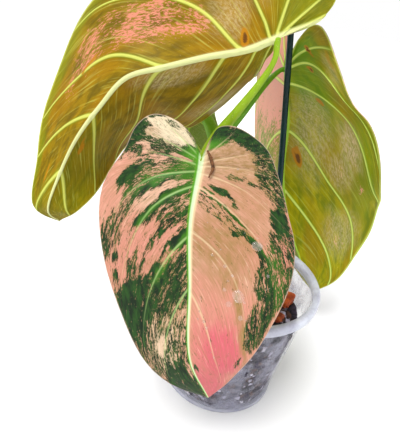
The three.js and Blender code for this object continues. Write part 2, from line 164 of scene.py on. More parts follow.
class Graph:
    """A short way to write a material's nodes."""

    def __init__(self, name, **settings):
        self.material = bpy.data.materials.new(name)
        self.material.use_nodes = True
        self.tree = self.material.node_tree
        self.shader = self.tree.nodes["Principled BSDF"]
        for socket, value in settings.items():
            self.shader.inputs[socket.replace("_", " ")].default_value = value

    def node(self, kind, inputs=(), **settings):
        made = self.tree.nodes.new(kind)
        for key, value in settings.items():
            setattr(made, key, value)
        for key, value in dict(inputs).items():
            self.put(made.inputs[key], value)
        return made

    def put(self, socket, value):
        """Sets a socket to a number or colour, or links it to a node or to the mesh values of that name."""
        if isinstance(value, str):
            value = self.value(value)
        if isinstance(value, bpy.types.NodeSocket):
            self.tree.links.new(value, socket)
        else:
            socket.default_value = value

    def value(self, name):
        return self.node("ShaderNodeAttribute", attribute_name=name).outputs["Fac"]

    def sum(self, operation, a, b):
        return self.node("ShaderNodeMath", {0: a, 1: b}, operation=operation).outputs[0]

    def step(self, value, low, high, to_low=0.0, to_high=1.0):
        sockets = {"Value": value, "From Min": low, "From Max": high, "To Min": to_low, "To Max": to_high}
        return self.node("ShaderNodeMapRange", sockets, interpolation_type="SMOOTHSTEP").outputs["Result"]

    def mix(self, share, a, b):
        made = self.node("ShaderNodeMix", data_type="RGBA")
        for socket, value in zip([made.inputs[0], made.inputs[6], made.inputs[7]], [share, a, b]):
            self.put(socket, value)
        return made.outputs[2]

    def tint(self, base, source, low, high, tone, start=0.0, end=1.0):
        """Mixes a tone into the base where the source rises from low to high."""
        return self.mix(self.step(source, low, high, start, end), base, tone)

    def place(self, uv_map=None, scale=(1, 1, 1)):
        if uv_map:
            source = self.node("ShaderNodeUVMap", uv_map=uv_map).outputs["UV"]
        else:
            source = self.node("ShaderNodeTexCoord").outputs["Object"]
        return self.node("ShaderNodeMapping", {"Vector": source, "Scale": scale}).outputs["Vector"]

    def noise(self, vector, scale, detail=3.0, roughness=0.55, warp=0.0):
        sockets = {"Vector": vector, "Scale": scale, "Detail": detail, "Roughness": roughness}
        return self.node("ShaderNodeTexNoise", {**sockets, "Distortion": warp}).outputs["Fac"]

    def ragged(self, base, noise, weight):
        """The base with a noise around zero added to it."""
        return self.sum("ADD", base, self.sum("MULTIPLY", self.sum("SUBTRACT", noise, 0.5), weight))

    def cells(self, vector, scale):
        return self.node("ShaderNodeTexVoronoi", {"Vector": vector, "Scale": scale}).outputs["Distance"]

    def bump(self, height, distance, strength=1.0):
        made = self.node("ShaderNodeBump", {"Height": height, "Distance": distance, "Strength": strength})
        self.tree.links.new(made.outputs["Normal"], self.shader.inputs["Normal"])

    def finish(self, base, roughness=None):
        self.put(self.shader.inputs["Base Color"], base)
        if roughness is not None:
            self.put(self.shader.inputs["Roughness"], roughness)
        return self.material


# Leaves. A leaf is drawn flat, in millimetres from the petiole's attachment with the tip at (0, length), one
# outline for each side, and is then bent. These numbers repeat the CAD model's.

RIB_STARTS = [0, 0, 0, 0, 0.01, 0.04, 0.1, 0.19, 0.31, 0.45, 0.61, 0.8, 1]
STATIONS = len(RIB_STARTS) - 1
LOBE_REACH = 0.25
BEND_WIDTH = 0.4
TANGENT_REACH = 0.1
BLADE_HALF = 0.4
MARGIN_HALF = 0.25
RIB_HEIGHT = 1.3
RIB_TAPER = 0.8
HANDLE = 0.55
SWEEP_OUT, SWEEP_BACK = 0.1, 0.16
SWEEP_FROM, SWEEP_OVER = 0.3, 0.2
NEARLY_ZERO = 1e-6


class Blade:
    def __init__(self, spine, face, roll, fold, curl, outline):
        self.spine = np.array(spine, float)
        self.face = np.array(face, float)
        self.roll = np.radians(roll)
        self.fold = np.radians(fold)
        self.curl = np.radians(curl)
        self.outline = [np.array(side, float) for side in outline]
        self.length = self.outline[0][-1, 1]
        self.segments = len(spine) - 1

    def frame_at(self, y):
        t = (y / self.length * (self.segments - 1) + 1) / self.segments
        on_spine = clamp01(t)
        middle = through(self.spine, on_spine)
        middle = middle + (np.minimum(t, 0) * self.segments)[..., None] * (self.spine[1] - self.spine[0])
        ahead = through(self.spine, clamp01(on_spine + TANGENT_REACH))
        along = unit(ahead - through(self.spine, clamp01(on_spine - TANGENT_REACH)))
        bend = clamp01((y / self.length + LOBE_REACH) / (1 + LOBE_REACH))
        flat_up = unit(self.face - (along @ self.face)[..., None] * along)
        roll = through(self.roll, bend)
        up = np.cos(roll) * flat_up + np.sin(roll) * np.cross(along, flat_up)
        return middle, np.cross(along, up), up, bend

    def point_at(self, x, y, side):
        middle, across, up, bend = self.frame_at(y)
        fold = through(self.fold[side], bend)[..., 0]
        curl = through(self.curl[side], bend)[..., 0]
        rate = np.where(np.abs(curl) < NEARLY_ZERO, NEARLY_ZERO, curl) / (BEND_WIDTH * self.length)
        reach = (np.sin(fold + rate * x) - np.sin(fold)) / rate
        lift = (np.cos(fold) - np.cos(fold + rate * x)) / rate
        direction = 1 if side == 0 else -1
        return middle + direction * reach[..., None] * across + lift[..., None] * up

    def normal_at(self, x, y, side):
        step = 0.05
        middle = self.point_at(x, y, side)
        by_x = self.point_at(x + step, y, side) - middle
        by_y = self.point_at(x, y + step, side) - middle
        normal = unit(np.cross(by_x, by_y)) * (1 if side == 0 else -1)
        return np.where((x < NEARLY_ZERO)[..., None], self.frame_at(y)[2], normal)

    def flat_at(self, a, b, side):
        margin = through(self.outline[side], a)
        start = np.interp(a, np.linspace(0, 1, len(RIB_STARTS)), RIB_STARTS) * self.length
        reach_x, reach_y = margin[..., 0], margin[..., 1] - start
        sweep = np.hypot(reach_x, reach_y) * clamp01((a - SWEEP_FROM) / SWEEP_OVER)
        handle_x = HANDLE * reach_x + SWEEP_OUT * sweep
        handle_y = start + HANDLE * reach_y - SWEEP_BACK * sweep
        x = 2 * (1 - b) * b * handle_x + b * b * margin[..., 0]
        return x, (1 - b) ** 2 * start + 2 * (1 - b) * b * handle_y + b * b * margin[..., 1]


BLADES = {
    "front_leaf": Blade(
        spine=[[-36, -33, 194], [-34, -35, 166], [-34, -46, 139], [-29, -56, 109], [-23, -66, 74],
               [-9, -64, 45]],
        face=[0, -1, 0.25],
        roll=[1, 1, 3],
        fold=[[8, 9, 8, 5], [9, 8, 10, 8]],
        curl=[[-22, -25, -25, -14], [-20, -27, -18, -13]],
        outline=[
            [[0, 0], [5, -11], [13, -19], [23, -21], [31, -13], [36, 3], [43, 22], [43, 42], [39, 64],
             [31, 83],
             [20, 102], [11, 117], [0, 131]],
            [[0, 0], [3, -11], [7, -18], [16, -18], [28, -10], [36, 3], [44, 20], [49, 40], [48, 61],
             [38, 84],
             [27, 105], [14, 120], [0, 131]],
        ],
    ),
    "side_leaf": Blade(
        spine=[[2, 32, 230], [4, 44, 198], [14, 51, 166], [20, 56, 130], [32, 59, 95], [49, 61, 64],
               [67, 61, 35]],
        face=[0.5, 0.87, 0.1],
        roll=[17, 10, 4],
        fold=[[-4, -3, 16, 7], [30, 23, 26, 15]],
        curl=[[-6, -9, 10, 11], [29, 19, 20, 15]],
        outline=[
            [[0, 0], [4, -20], [13, -33], [24, -31], [42, -16], [56, 4], [64, 29], [65, 59], [61, 91],
             [54, 121],
             [38, 147], [21, 166], [0, 177]],
            [[0, 0], [5, -18], [18, -30], [36, -33], [53, -22], [66, -1], [71, 25], [69, 55],
             [61, 86], [47, 114],
             [30, 139], [13, 159], [0, 177]],
        ],
    ),
    "upper_leaf": Blade(
        spine=[[3, 1, 224], [-10, -6.5, 218], [-23, -8, 211], [-40, -7, 205], [-59, -6, 197],
               [-77, -7, 189],
               [-89, -8, 173], [-99, -12, 156], [-106, -15, 138], [-111, -21, 117], [-108, -12, 105]],
        face=[-0.1, 1, 0.2],
        roll=[-9, 24, 1],
        fold=[[37, 45, 36, 50, 1], [4, 4, 12, 21, 1]],
        curl=[[45, 56, 45, 48, 25], [26, 30, 36, 39, 25]],
        outline=[
            [[0, 0], [6, 0], [12, 2], [19, 6], [30, 11], [45, 17], [57, 29], [62, 55], [55, 81], [45, 110],
             [30, 134], [16, 153], [0, 170]],
            [[0, 0], [1, -27], [10, -39], [28, -40], [47, -26], [59, -4], [64, 22], [59, 52],
             [48, 82], [33, 109],
             [16, 134], [8, 155], [0, 170]],
        ],
    ),
    "back_leaf": Blade(
        spine=[[-48, 50, 182], [-48, 54, 165], [-47, 58, 147], [-46, 62, 126], [-46, 65, 104],
               [-48, 66, 82]],
        face=[0, 1, 0.25],
        roll=[0, 0, 0],
        fold=[[8, 10, 10, 5]] * 2,
        curl=[[15, 18, 18, 10]] * 2,
        outline=[
            [[0, 0], [2, -7], [6, -11], [11, -9], [14, -2], [16, 8], [19, 18], [23, 29], [24, 41], [20, 54],
             [13, 67], [5, 77], [0, 85]],
            [[0, 0], [3, -8], [8, -12], [15, -12], [22, -7], [27, 2], [30, 13], [30, 27], [27, 41],
             [21, 55],
             [13, 67], [5, 77], [0, 85]],
        ],
    ),
}

# Side veins of each half: the station where one leaves the rib, the station it heads for at the margin, and
# the power of its bow. Stations run from 0 at the sinus to 12 at the tip.
VEINS = {
    "front_leaf": [
        [(1.3, 1.3, 1), (2.8, 2.8, 1), (3.9, 3.9, 1), (4.7, 4.9, 1), (5.2, 7.3, 1), (6.1, 8.7, 1),
         (7.95, 9.9, 1),
         (9.3, 10.9, 1)],
        [(1.5, 1.5, 1), (3, 2.9, 1), (4.2, 4.1, 1), (4.7, 5.2, 1), (5.3, 6.9, 1), (6.1, 8.7, 1),
         (7.8, 9.9, 1),
         (9.4, 11.5, 1)],
    ],
    "side_leaf": [
        [(1, 1, 1), (1.9, 3.3, 0.6), (3.4, 6.8, 4), (5.2, 8, 3), (7.35, 10.2, 1.6), (9.1, 11.4, 1)],
        [(1.2, 1.2, 1), (2.6, 3, 1), (4, 5.2, 1), (5.4, 7.2, 1), (7.3, 9.4, 1), (9.2, 10.8, 1)],
    ],
    "upper_leaf": [
        [(1.5, 1.5, 1), (3.3, 5.6, 0.4), (5.2, 7.6, 0.5), (6.7, 8.3, 0.6), (8.2, 9.5, 0.6),
         (9.85, 10.4, 0.8),
         (10.9, 11.4, 1)],
        [(1.2, 1.3, 1), (2.3, 2.3, 1), (3.6, 3.7, 1), (4.3, 6.9, 0.6), (6.15, 8.2, 0.6), (8.15, 9.4, 0.6),
         (9.85, 10, 1), (10.9, 11.1, 1)],
    ],
    "back_leaf": [[(2.5, 2.5, 1), (4.6, 5, 1), (6, 8, 1), (8, 9.8, 1), (9.6, 11, 1)]] * 2,
}

ROWS = 250
COLUMNS = 72
COLUMN_CROWDING = 1.3
FINE_STEPS = 4001
VEIN_CROWDING, CROWDING_REACH = 1.6, 0.006
VEIN_STEPS, VEIN_END = 40, 0.97
FAR = 1e3
GREEN_SOFT, TONE_SOFT = 0.25, 0.6
WOBBLE, WOBBLE_OUT = 0.35, 0.08


def vein_lines(veins, reach):
    """Where each vein runs: one row for each, with the sinus and the tip as the first and the last."""
    inner = [(start + (end - start) * reach**power) / STATIONS for start, end, power in veins]
    return np.vstack([np.zeros_like(reach), *inner, np.ones_like(reach)])


def row_starts(veins_of_both):
    """Where the rows of the mesh leave the rib, closer together at the veins."""
    fine = np.linspace(0, 1, FINE_STEPS)
    density = np.ones_like(fine)
    for start, _, _ in [vein for veins in veins_of_both for vein in veins]:
        density += VEIN_CROWDING * np.exp(-(((fine - start / STATIONS) / CROWDING_REACH) ** 2))
    total = np.concatenate([[0], np.cumsum((density[1:] + density[:-1]) / 2)])
    return np.interp(np.linspace(0, 1, ROWS), total / total[-1], fine)


def flat_grid(blade, veins, starts, reach, side):
    lines = vein_lines(veins, reach)
    phase = np.interp(starts, lines[:, 0], np.arange(len(lines)))
    low = np.minimum(phase.astype(int), len(lines) - 2)
    share = (phase - low)[:, None]
    a = lines[low] * (1 - share) + lines[low + 1] * share
    b = np.broadcast_to(reach, a.shape)
    x, y = blade.flat_at(a, b, side)
    return a, b, x, y, np.broadcast_to(phase[:, None], a.shape)


def vein_distance(blade, veins, x, y, side):
    """How far each point of the flat drawing is from the nearest vein, and how far out along it that is."""
    reach = np.linspace(0, VEIN_END, VEIN_STEPS)
    best = np.full(x.size, FAR)
    out = np.zeros(x.size)
    points = np.stack([x.ravel(), y.ravel()], -1)
    for line in vein_lines(veins, reach)[1:-1]:
        path = np.stack(blade.flat_at(line, reach, side), -1)
        for k in range(len(path) - 1):
            step = path[k + 1] - path[k]
            along = clamp01(((points - path[k]) @ step) / max(step @ step, 1e-9))
            apart = np.linalg.norm(points - path[k] - along[:, None] * step, axis=1)
            near = apart < best
            best[near] = apart[near]
            out[near] = reach[k]
    return best.reshape(x.shape), out.reshape(x.shape)


def painted(base, strokes, station, start, reach, soft):
    """Strokes over an even base, their edges softer with more soft. A stroke is (by, where, reach, half sizes
    of both, value), and by says whether it is placed by the station itself (s) or by the one where the mesh
    row leaves the rib (q)."""
    field = np.full(station.shape, float(base))
    wobble = 0.5 * wavy(station * 2.3, reach * 9) + 0.5 * wavy(station * 5.1 + 7, reach * 19 + 3) - 0.5
    for by, at, out, half, half_out, value in strokes:
        axis = station if by == "s" else start
        far = np.hypot((axis + WOBBLE * wobble - at) / half, (reach + WOBBLE_OUT * wobble - out) / half_out)
        field = lerp(field, value, smooth(1 + soft, 1 - soft, far))
    return field


# Strokes of green (1 solid, 0 mixed, -1 none), of blush (0 cream, 0.5 salmon, 1 strong pink) and of khaki for
# each half of a leaf
FRONT_GREEN = [
    [
        ("s", 2.6, 0.7, 1.4, 0.45, -1),
        ("s", 2.35, 0.8, 0.4, 0.14, 0.0),
        ("s", 1.2, 0.8, 0.4, 0.3, 0.1),
        ("s", 3.1, 1.0, 0.6, 0.05, 0.3),
        ("s", 4.2, 0.95, 0.7, 0.16, 0.9),
        ("s", 4.25, 0.6, 0.22, 0.32, 0.4),
        ("s", 2.5, 0.12, 2.7, 0.18, 0.9),
        ("s", 4.9, 0.4, 0.55, 0.3, 0.35),
        ("s", 4.6, 0.24, 0.22, 0.14, -0.6),
        ("s", 4.75, 0.76, 0.28, 0.13, -0.9),
        ("s", 5.1, 0.84, 0.4, 0.14, 0.3),
        ("s", 5.05, 0.5, 0.2, 0.12, -0.5),
        ("s", 5.35, 0.72, 0.2, 0.1, -0.8),
        ("s", 6.15, 0.9, 0.95, 0.22, -1),
        ("s", 5.85, 0.68, 0.4, 0.11, 1),
        ("s", 5.7, 0.4, 0.35, 0.16, 0.1),
        ("q", 5.5, 0.2, 0.4, 0.34, 0.75),
        ("q", 5.72, 0.45, 0.16, 0.42, -0.75),
        ("q", 6.1, 0.4, 0.24, 0.5, 0.9),
        ("q", 6.65, 0.4, 0.28, 0.45, 0.1),
        ("s", 7.25, 0.8, 0.5, 0.15, 0.05),
        ("s", 7.3, 0.95, 0.4, 0.06, 0.4),
        ("s", 8.0, 0.5, 0.62, 0.5, -0.8),
        ("q", 7.05, 0.25, 0.2, 0.25, 0.2),
        ("s", 8.2, 0.62, 0.25, 0.12, 0.0),
        ("s", 7.85, 0.9, 0.3, 0.16, -0.9),
        ("s", 7.7, 0.83, 0.13, 0.06, 1),
        ("q", 7.9, 0.3, 0.3, 0.6, 1),
        ("s", 8.9, 0.75, 0.55, 0.35, 0.95),
        ("s", 8.1, 0.9, 0.16, 0.05, 0.8),
        ("s", 8.35, 0.17, 0.2, 0.13, -0.2),
        ("s", 9.1, 0.32, 0.5, 0.24, 0.6),
        ("s", 10.0, 0.42, 0.42, 0.26, 0.0),
        ("s", 10.05, 0.57, 0.14, 0.1, -1),
        ("s", 11.2, 0.6, 0.7, 0.6, 0.85),
        ("s", 11, 0.1, 0.3, 0.1, -0.5),
    ],
    [
        ("s", 6, 0.5, 9, 2, -1.2),
        ("s", 1.8, 0.62, 1.4, 0.5, 1),
        ("s", 3.6, 0.9, 0.9, 0.2, 0.9),
        ("s", 5.2, 0.86, 1.0, 0.24, 0.3),
        ("s", 7.6, 0.86, 1.4, 0.2, 0.15),
        ("s", 5.3, 0.74, 0.5, 0.08, 0.2),
        ("s", 5.45, 0.38, 0.14, 0.14, 0.1),
        ("s", 5.65, 0.6, 0.12, 0.12, 0.3),
        ("s", 6.6, 0.83, 0.55, 0.13, 1),
        ("s", 7.2, 0.84, 0.3, 0.12, 0.1),
        ("q", 5.75, 0.21, 0.1, 0.13, 0.9),
        ("q", 6.0, 0.1, 0.07, 0.06, 0.6),
        ("q", 6.2, 0.25, 0.08, 0.22, 0.8),
        ("q", 6.55, 0.2, 0.3, 0.2, -0.25),
        ("s", 7.6, 0.39, 0.14, 0.08, 0.6),
        ("q", 6.42, 0.68, 0.22, 0.26, 0.6),
        ("s", 8.35, 0.78, 0.42, 0.17, 0.4),
        ("s", 8.0, 0.98, 0.2, 0.05, 0.6),
        ("s", 9.2, 0.86, 0.42, 0.15, 0.35),
        ("s", 10.1, 0.86, 0.2, 0.05, 0.2),
        ("s", 11, 0.1, 0.12, 0.08, 0.3),
    ],
]
FRONT_BLUSH = [
    [
        ("s", 2.5, 0.6, 1.6, 0.6, 0.02),
        ("s", 3.8, 0.85, 0.3, 0.2, 0.2),
        ("s", 6.1, 0.88, 1.0, 0.25, 0.45),
        ("q", 5.75, 0.45, 0.22, 0.4, 0.3),
        ("s", 7.9, 0.6, 0.8, 0.5, 0.6),
        ("s", 10.1, 0.5, 0.6, 0.3, 0.2),
    ],
    [
        ("s", 4.3, 0.5, 1.3, 0.5, 0.32),
        ("s", 6.3, 0.5, 0.9, 0.5, 0.42),
        ("q", 6.5, 0.2, 0.35, 0.25, 0.4),
        ("s", 7.9, 0.4, 0.6, 0.4, 0.5),
        ("s", 7.4, 0.93, 1.2, 0.14, 0.66),
        ("s", 9.3, 0.5, 0.5, 0.5, 0.6),
        ("s", 10.4, 0.5, 0.8, 0.55, 0.8),
        ("s", 10.2, 0.6, 0.6, 0.28, 1.0),
        ("s", 11.6, 0.5, 0.7, 0.8, 0.95),
    ],
]
FRONT_KHAKI = [
    [("s", 3.9, 0.85, 0.3, 0.2, 0.5), ("s", 5.9, 0.75, 0.5, 0.15, 0.3), ("s", 9.2, 0.3, 0.8, 0.3, 0.6)],
    [
        ("s", 4.4, 0.45, 1.5, 0.5, 0.9),
        ("s", 6.3, 0.45, 1.0, 0.4, 0.6),
        ("s", 8.0, 0.25, 0.9, 0.35, 0.9),
        ("q", 7.95, 0.55, 0.16, 0.5, 1.0),
    ],
]

# The undersides: strokes of pink patches, and of green against the golden ground
UPPER_PINK = [
    [],
    [
        ("s", 8.0, 0.42, 0.7, 0.2, 0.62),
        ("s", 7.3, 0.25, 0.4, 0.12, 0.5),
        ("s", 8.6, 0.62, 0.7, 0.18, 0.5),
        ("s", 6.5, 0.7, 0.8, 0.2, 0.5),
    ],
]
UPPER_FRESH = [
    [("s", 3, 0.5, 2.5, 0.8, 0.6), ("s", 5.6, 0.8, 1.2, 0.3, 0.35), ("s", 11, 0.5, 1.2, 0.8, 0.5)],
    [("s", 2, 0.5, 2.4, 0.8, 0.7), ("s", 9.5, 0.97, 2.4, 0.1, 0.7), ("s", 11.4, 0.5, 0.6, 0.8, 0.5)],
]
SIDE_PINK = [
    [
        ("s", 6.7, 0.64, 0.35, 0.08, 0.45),
        ("s", 7.6, 0.55, 0.3, 0.08, 0.35),
        ("s", 7.66, 0.76, 0.3, 0.05, 0.45),
        ("s", 9.9, 0.7, 0.3, 0.1, 0.4),
    ],
    [("s", 4.2, 0.5, 3.6, 1.3, 1.1), ("s", 2.4, 0.6, 0.7, 0.2, 0.4), ("s", 6.2, 0.9, 0.8, 0.12, 0.45)],
]
SIDE_FRESH = [
    [("s", 2, 0.3, 2.2, 0.4, 0.9), ("s", 4.8, 0.25, 1.4, 0.3, 0.7), ("s", 7.2, 0.8, 2, 0.12, 0.5)],
    [("s", 8, 0.5, 3.2, 0.8, 0.4)],
]
SIDE_SPOTS = [
    [
        ("s", 7.95, 0.11, 0.16, 0.035, 1),
        ("s", 2.8, 0.53, 0.36, 0.026, 1),
        ("s", 3.9, 0.42, 0.2, 0.03, 1),
        ("s", 5.67, 0.33, 0.12, 0.03, 0.8),
        ("s", 3.5, 0.86, 0.3, 0.05, 0.3),
    ],
    [],
]
SIDE_PALE = [
    [
        ("s", 6.9, 0.22, 1.4, 0.17, 0.6),
        ("s", 6.6, 0.62, 0.6, 0.12, 1.0),
        ("s", 7.6, 0.54, 0.5, 0.12, 0.7),
        ("s", 9.6, 0.68, 0.7, 0.2, 0.6),
        ("s", 3.9, 0.8, 0.5, 0.1, 0.5),
    ],
    [],
]
UPPER_SPOTS = [
    [("s", 10.3, 0.17, 0.1, 0.04, 0.7)],
    [("s", 6.08, 0.055, 0.15, 0.045, 1), ("s", 10.6, 0.57, 0.1, 0.04, 0.7),
     ("s", 8.9, 0.5, 0.07, 0.03, 0.7)],
]
UPPER_PALE = [
    [("s", 8.1, 0.08, 0.7, 0.1, 0.6), ("s", 7, 0.64, 0.6, 0.12, 0.6)],
    [("s", 6.4, 0.2, 0.6, 0.12, 0.5), ("s", 5.2, 0.45, 0.8, 0.2, 0.4)],
]
HIDDEN_GREEN = [
    [("s", 4.6, 0.6, 1.5, 0.4, -0.7), ("s", 8.5, 0.5, 1.2, 0.5, 0.9), ("s", 11, 0.5, 0.7, 0.6, -0.5)],
    [("s", 3.0, 0.7, 1.2, 0.35, 0.9), ("s", 6.9, 0.5, 1.0, 0.45, -0.7), ("s", 10, 0.6, 1.0, 0.5, 0.8)],
]
PLAIN = [[], []]

FRONT_BRIGHT = [
    [
        ("s", 2.6, 0.08, 3.2, 0.17, 1),
        ("q", 5.2, 0.2, 0.2, 0.4, 0.5),
        ("q", 6.1, 0.25, 0.12, 0.4, 0.5),
        ("q", 7.95, 0.18, 0.12, 0.3, 0.5),
    ],
    [("s", 2.2, 0.2, 2.6, 0.35, 1), ("q", 6.1, 0.5, 0.2, 0.6, 0.3)],
]

LEAF_STROKES = {
    "front_leaf": {"green": (0.1, FRONT_GREEN), "blush": (0.36, FRONT_BLUSH), "khaki": (0.1, FRONT_KHAKI),
                   "pink": (0.5, PLAIN), "fresh": (0.0, FRONT_BRIGHT), "spot": (0.0, PLAIN)},
    "side_leaf": {"green": (0.2, HIDDEN_GREEN), "blush": (0.45, PLAIN), "khaki": (0.0, SIDE_PALE),
                  "pink": (0.0, SIDE_PINK), "fresh": (0.2, SIDE_FRESH), "spot": (0.0, SIDE_SPOTS)},
    "upper_leaf": {"green": (0.3, HIDDEN_GREEN), "blush": (0.5, PLAIN), "khaki": (0.0, UPPER_PALE),
                   "pink": (0.0, UPPER_PINK), "fresh": (0.1, UPPER_FRESH), "spot": (0.0, UPPER_SPOTS)},
    "back_leaf": {"green": (0.6, PLAIN), "blush": (0.4, PLAIN), "khaki": (0.3, PLAIN),
                  "pink": (0.0, PLAIN), "fresh": (0.8, PLAIN), "spot": (0.0, PLAIN)},
}

VEIN_NARROWING = (1.25, 0.6)
VEIN_SINK, VEIN_RISE, RIB_SINK = 0.22, 0.35, 0.3
RIB_NARROWING, RIDGE_SPREAD = 0.18, 1.35
SURFACE_GRAIN = 0.12
RIB_WIDTH = {"front_leaf": 2.2, "side_leaf": 1.6, "upper_leaf": 1.9, "back_leaf": 1.0}
VEIN_WIDTH = {"front_leaf": 0.5, "side_leaf": 0.74, "upper_leaf": 0.7, "back_leaf": 0.5}
VEIN_FADE = {"front_leaf": 0.85, "side_leaf": 0.2, "upper_leaf": 0.3, "back_leaf": 0.3}
QUILT = {"front_leaf": 0.7, "side_leaf": 1.0, "upper_leaf": 1.1, "back_leaf": 0.4}
MARGIN_WAVE = {"front_leaf": 0.5, "side_leaf": 1.0, "upper_leaf": 0.9, "back_leaf": 0.4}


def leaf_object(name, upper_material, under_material):
    blade = BLADES[name]
    reach = np.linspace(0, 1, COLUMNS) ** COLUMN_CROWDING
    starts = row_starts(VEINS[name])
    corners, places, streaks = [], [], []
    values = {key: [] for key in ("vein", "rib", "reach", "side", *LEAF_STROKES[name])}
    for side in (0, 1):
        a, b, x, y, phase = flat_grid(blade, VEINS[name][side], starts, reach, side)
        apart, out = vein_distance(blade, VEINS[name][side], x, y, side)
        width = VEIN_WIDTH[name] * lerp(*VEIN_NARROWING, out)
        vein = np.exp(-((apart / width) ** 2)) * (1 - VEIN_FADE[name] * out)
        down = clamp01(y / blade.length)
        rib_width = RIB_WIDTH[name] * lerp(1, RIB_NARROWING, down**0.5)
        rib = np.exp(-((x / rib_width) ** 2))
        station = a * STATIONS
        from_rib = np.broadcast_to(starts[:, None] * STATIONS, a.shape)
        between = np.abs(np.sin(np.pi * phase)) * 4 * b * (1 - b)
        quilt = QUILT[name] * between
        wave = wavy(station * 1.1 + 5 * side, 0 * b) - 0.5
        wave = MARGIN_WAVE[name] * 2 * wave * b**3 * smooth(0, 0.1, a) * smooth(1, 0.9, a)
        rough = SURFACE_GRAIN * (wavy(phase * 9, b * 14) - 0.5) * smooth(0, 0.1, b)
        point = blade.point_at(x, y, side)
        normal = blade.normal_at(x, y, side)
        half = lerp(BLADE_HALF, MARGIN_HALF, b)
        round_top = np.sqrt(clamp01(1 - (x / (RIDGE_SPREAD * rib_width)) ** 2))
        ridge = RIB_HEIGHT * (1 - RIB_TAPER * down) * round_top
        for face in (1, -1):
            if face > 0:
                lift = half - VEIN_SINK * vein - RIB_SINK * rib * (1 - 0.5 * down)
            else:
                lift = -half - ridge - VEIN_RISE * vein
            lift = lift + quilt + wave + rough
            corners.append((point + normal * lift[..., None]).reshape(-1, 3))
            across = x if side == 0 else -x
            island = 0.25 if face > 0 else 0.75
            places.append(np.stack([island + across / 320, 0.2 + y / 240], -1).reshape(-1, 2))
            streaks.append(np.stack([b * 5 + 7 * side, phase * 2], -1).reshape(-1, 2))
            for key, value in (("vein", vein), ("rib", rib), ("reach", b), ("side", 0 * b + side)):
                values[key].append(value.ravel())
            for key, (base, strokes) in LEAF_STROKES[name].items():
                soft = GREEN_SOFT if key == "green" else TONE_SOFT
                values[key].append(painted(base, strokes[side], station, from_rib, b, soft).ravel())
    corners = np.vstack(corners)
    sheet = ROWS * COLUMNS
    grid = np.arange(sheet).reshape(ROWS, COLUMNS)
    quads = grid_quads(grid)
    edge = np.stack([grid[:-1, -1], grid[1:, -1]], -1)
    faces, slots = [], []
    for side in (0, 1):
        upper, under = 2 * side * sheet, (2 * side + 1) * sheet
        turn = 1 if side == 0 else -1
        faces += [(quads + upper)[:, ::turn], (quads + under)[:, ::-turn]]
        rim = np.column_stack([edge[:, :1] + (upper, under), edge[:, 1:] + (under, upper)])
        faces.append(rim[:, ::turn])
        slots += [np.zeros(len(quads)), np.ones(len(quads)), np.zeros(len(rim))]
    slots = np.concatenate(slots).astype(int)
    materials = (upper_material, under_material)
    made = make_object(name + "_blade", corners, np.vstack(faces).tolist(), materials, slots)
    add_map(made, "OFBake", np.vstack(places))
    add_map(made, "streaks", np.vstack(streaks))
    for key, parts in values.items():
        add_values(made, key, np.concatenate(parts))
    weld(made)
    return made


def weld(made, distance=0.004):
    """Joins corners that lie together, and takes out faces without area."""
    held = bmesh.new()
    held.from_mesh(made.data)
    bmesh.ops.remove_doubles(held, verts=held.verts, dist=distance * MM)
    bmesh.ops.dissolve_degenerate(held, edges=held.edges, dist=distance * MM / 10)
    held.to_mesh(made.data)
    held.free()


def upper_finish(name, dark, middle, bright, olive, cream, salmon, pink, khaki_tone, vein_left, vein_right):
    """An upper face: green tissue over pale tissue with ragged edges along the veins, and light veins."""
    graph = Graph(name, Roughness=0.42, Specular_IOR_Level=0.3)
    streaks = graph.place("streaks")
    field = graph.sum("MULTIPLY", "green", 0.62)
    for scale, detail, weight in ((1.1, 2, 1.1), (4.2, 5, 2.9), (15.0, 3, 2.4)):
        ragged = graph.noise(graph.place("streaks", (0.75, 1.5, 1)), scale, detail, 0.65, 0.3)
        field = graph.ragged(field, ragged, weight)
    mask = graph.step(field, -0.06, 0.08)
    fleck = graph.noise(streaks, 14, 3, 0.6)
    fine = graph.noise(graph.place("streaks", (0.4, 5, 1)), 3.0, 3, 0.6)
    tone = graph.noise(streaks, 2.5, 4, 0.6)
    pale = graph.mix(graph.step("blush", 0.0, 0.5), cream, salmon)
    pale = graph.tint(pale, "blush", 0.5, 1.0, pink)
    pale = graph.mix(graph.sum("MULTIPLY", "khaki", graph.step(tone, 0.3, 0.7, 0.5, 1.1)), pale,
                     khaki_tone)
    pale = graph.tint(pale, fine, 0.42, 0.7, khaki_tone, 0.0, 0.5)
    pale = graph.tint(pale, fine, 0.3, 0.42, cream, 0.3, 0.0)
    leaf_green = graph.mix(graph.step(tone, 0.35, 0.68), dark, middle)
    leaf_green = graph.tint(leaf_green, fine, 0.3, 0.7, dark, 0.45, 0.0)
    leaf_green = graph.mix(graph.sum("MULTIPLY", "fresh", 0.75), leaf_green, bright)
    thin = graph.step(field, -0.4, -0.06, 0.0, 0.55)
    base = graph.mix(mask, graph.mix(thin, pale, olive), leaf_green)
    vein_tone = graph.mix("side", vein_left, vein_right)
    base = graph.tint(base, "vein", 0.1, 0.9, vein_tone, 0.0, 0.6)
    beside = graph.step("rib", 0.02, 0.4, 0.0, 0.9)
    base = graph.mix(beside, base, graph.mix("side", bright, vein_right))
    base = graph.tint(base, "rib", 0.5, 0.9, colour(214, 236, 188), 0.0, 0.9)
    base = graph.tint(base, "reach", 0.985, 0.998, colour(225, 195, 170), 0.0, 0.6)
    graph.bump(graph.sum("ADD", fine, graph.sum("MULTIPLY", fleck, 0.6)), 0.0002, 0.5)
    return graph.finish(base, graph.step(fleck, 0.3, 0.7, 0.34, 0.5))


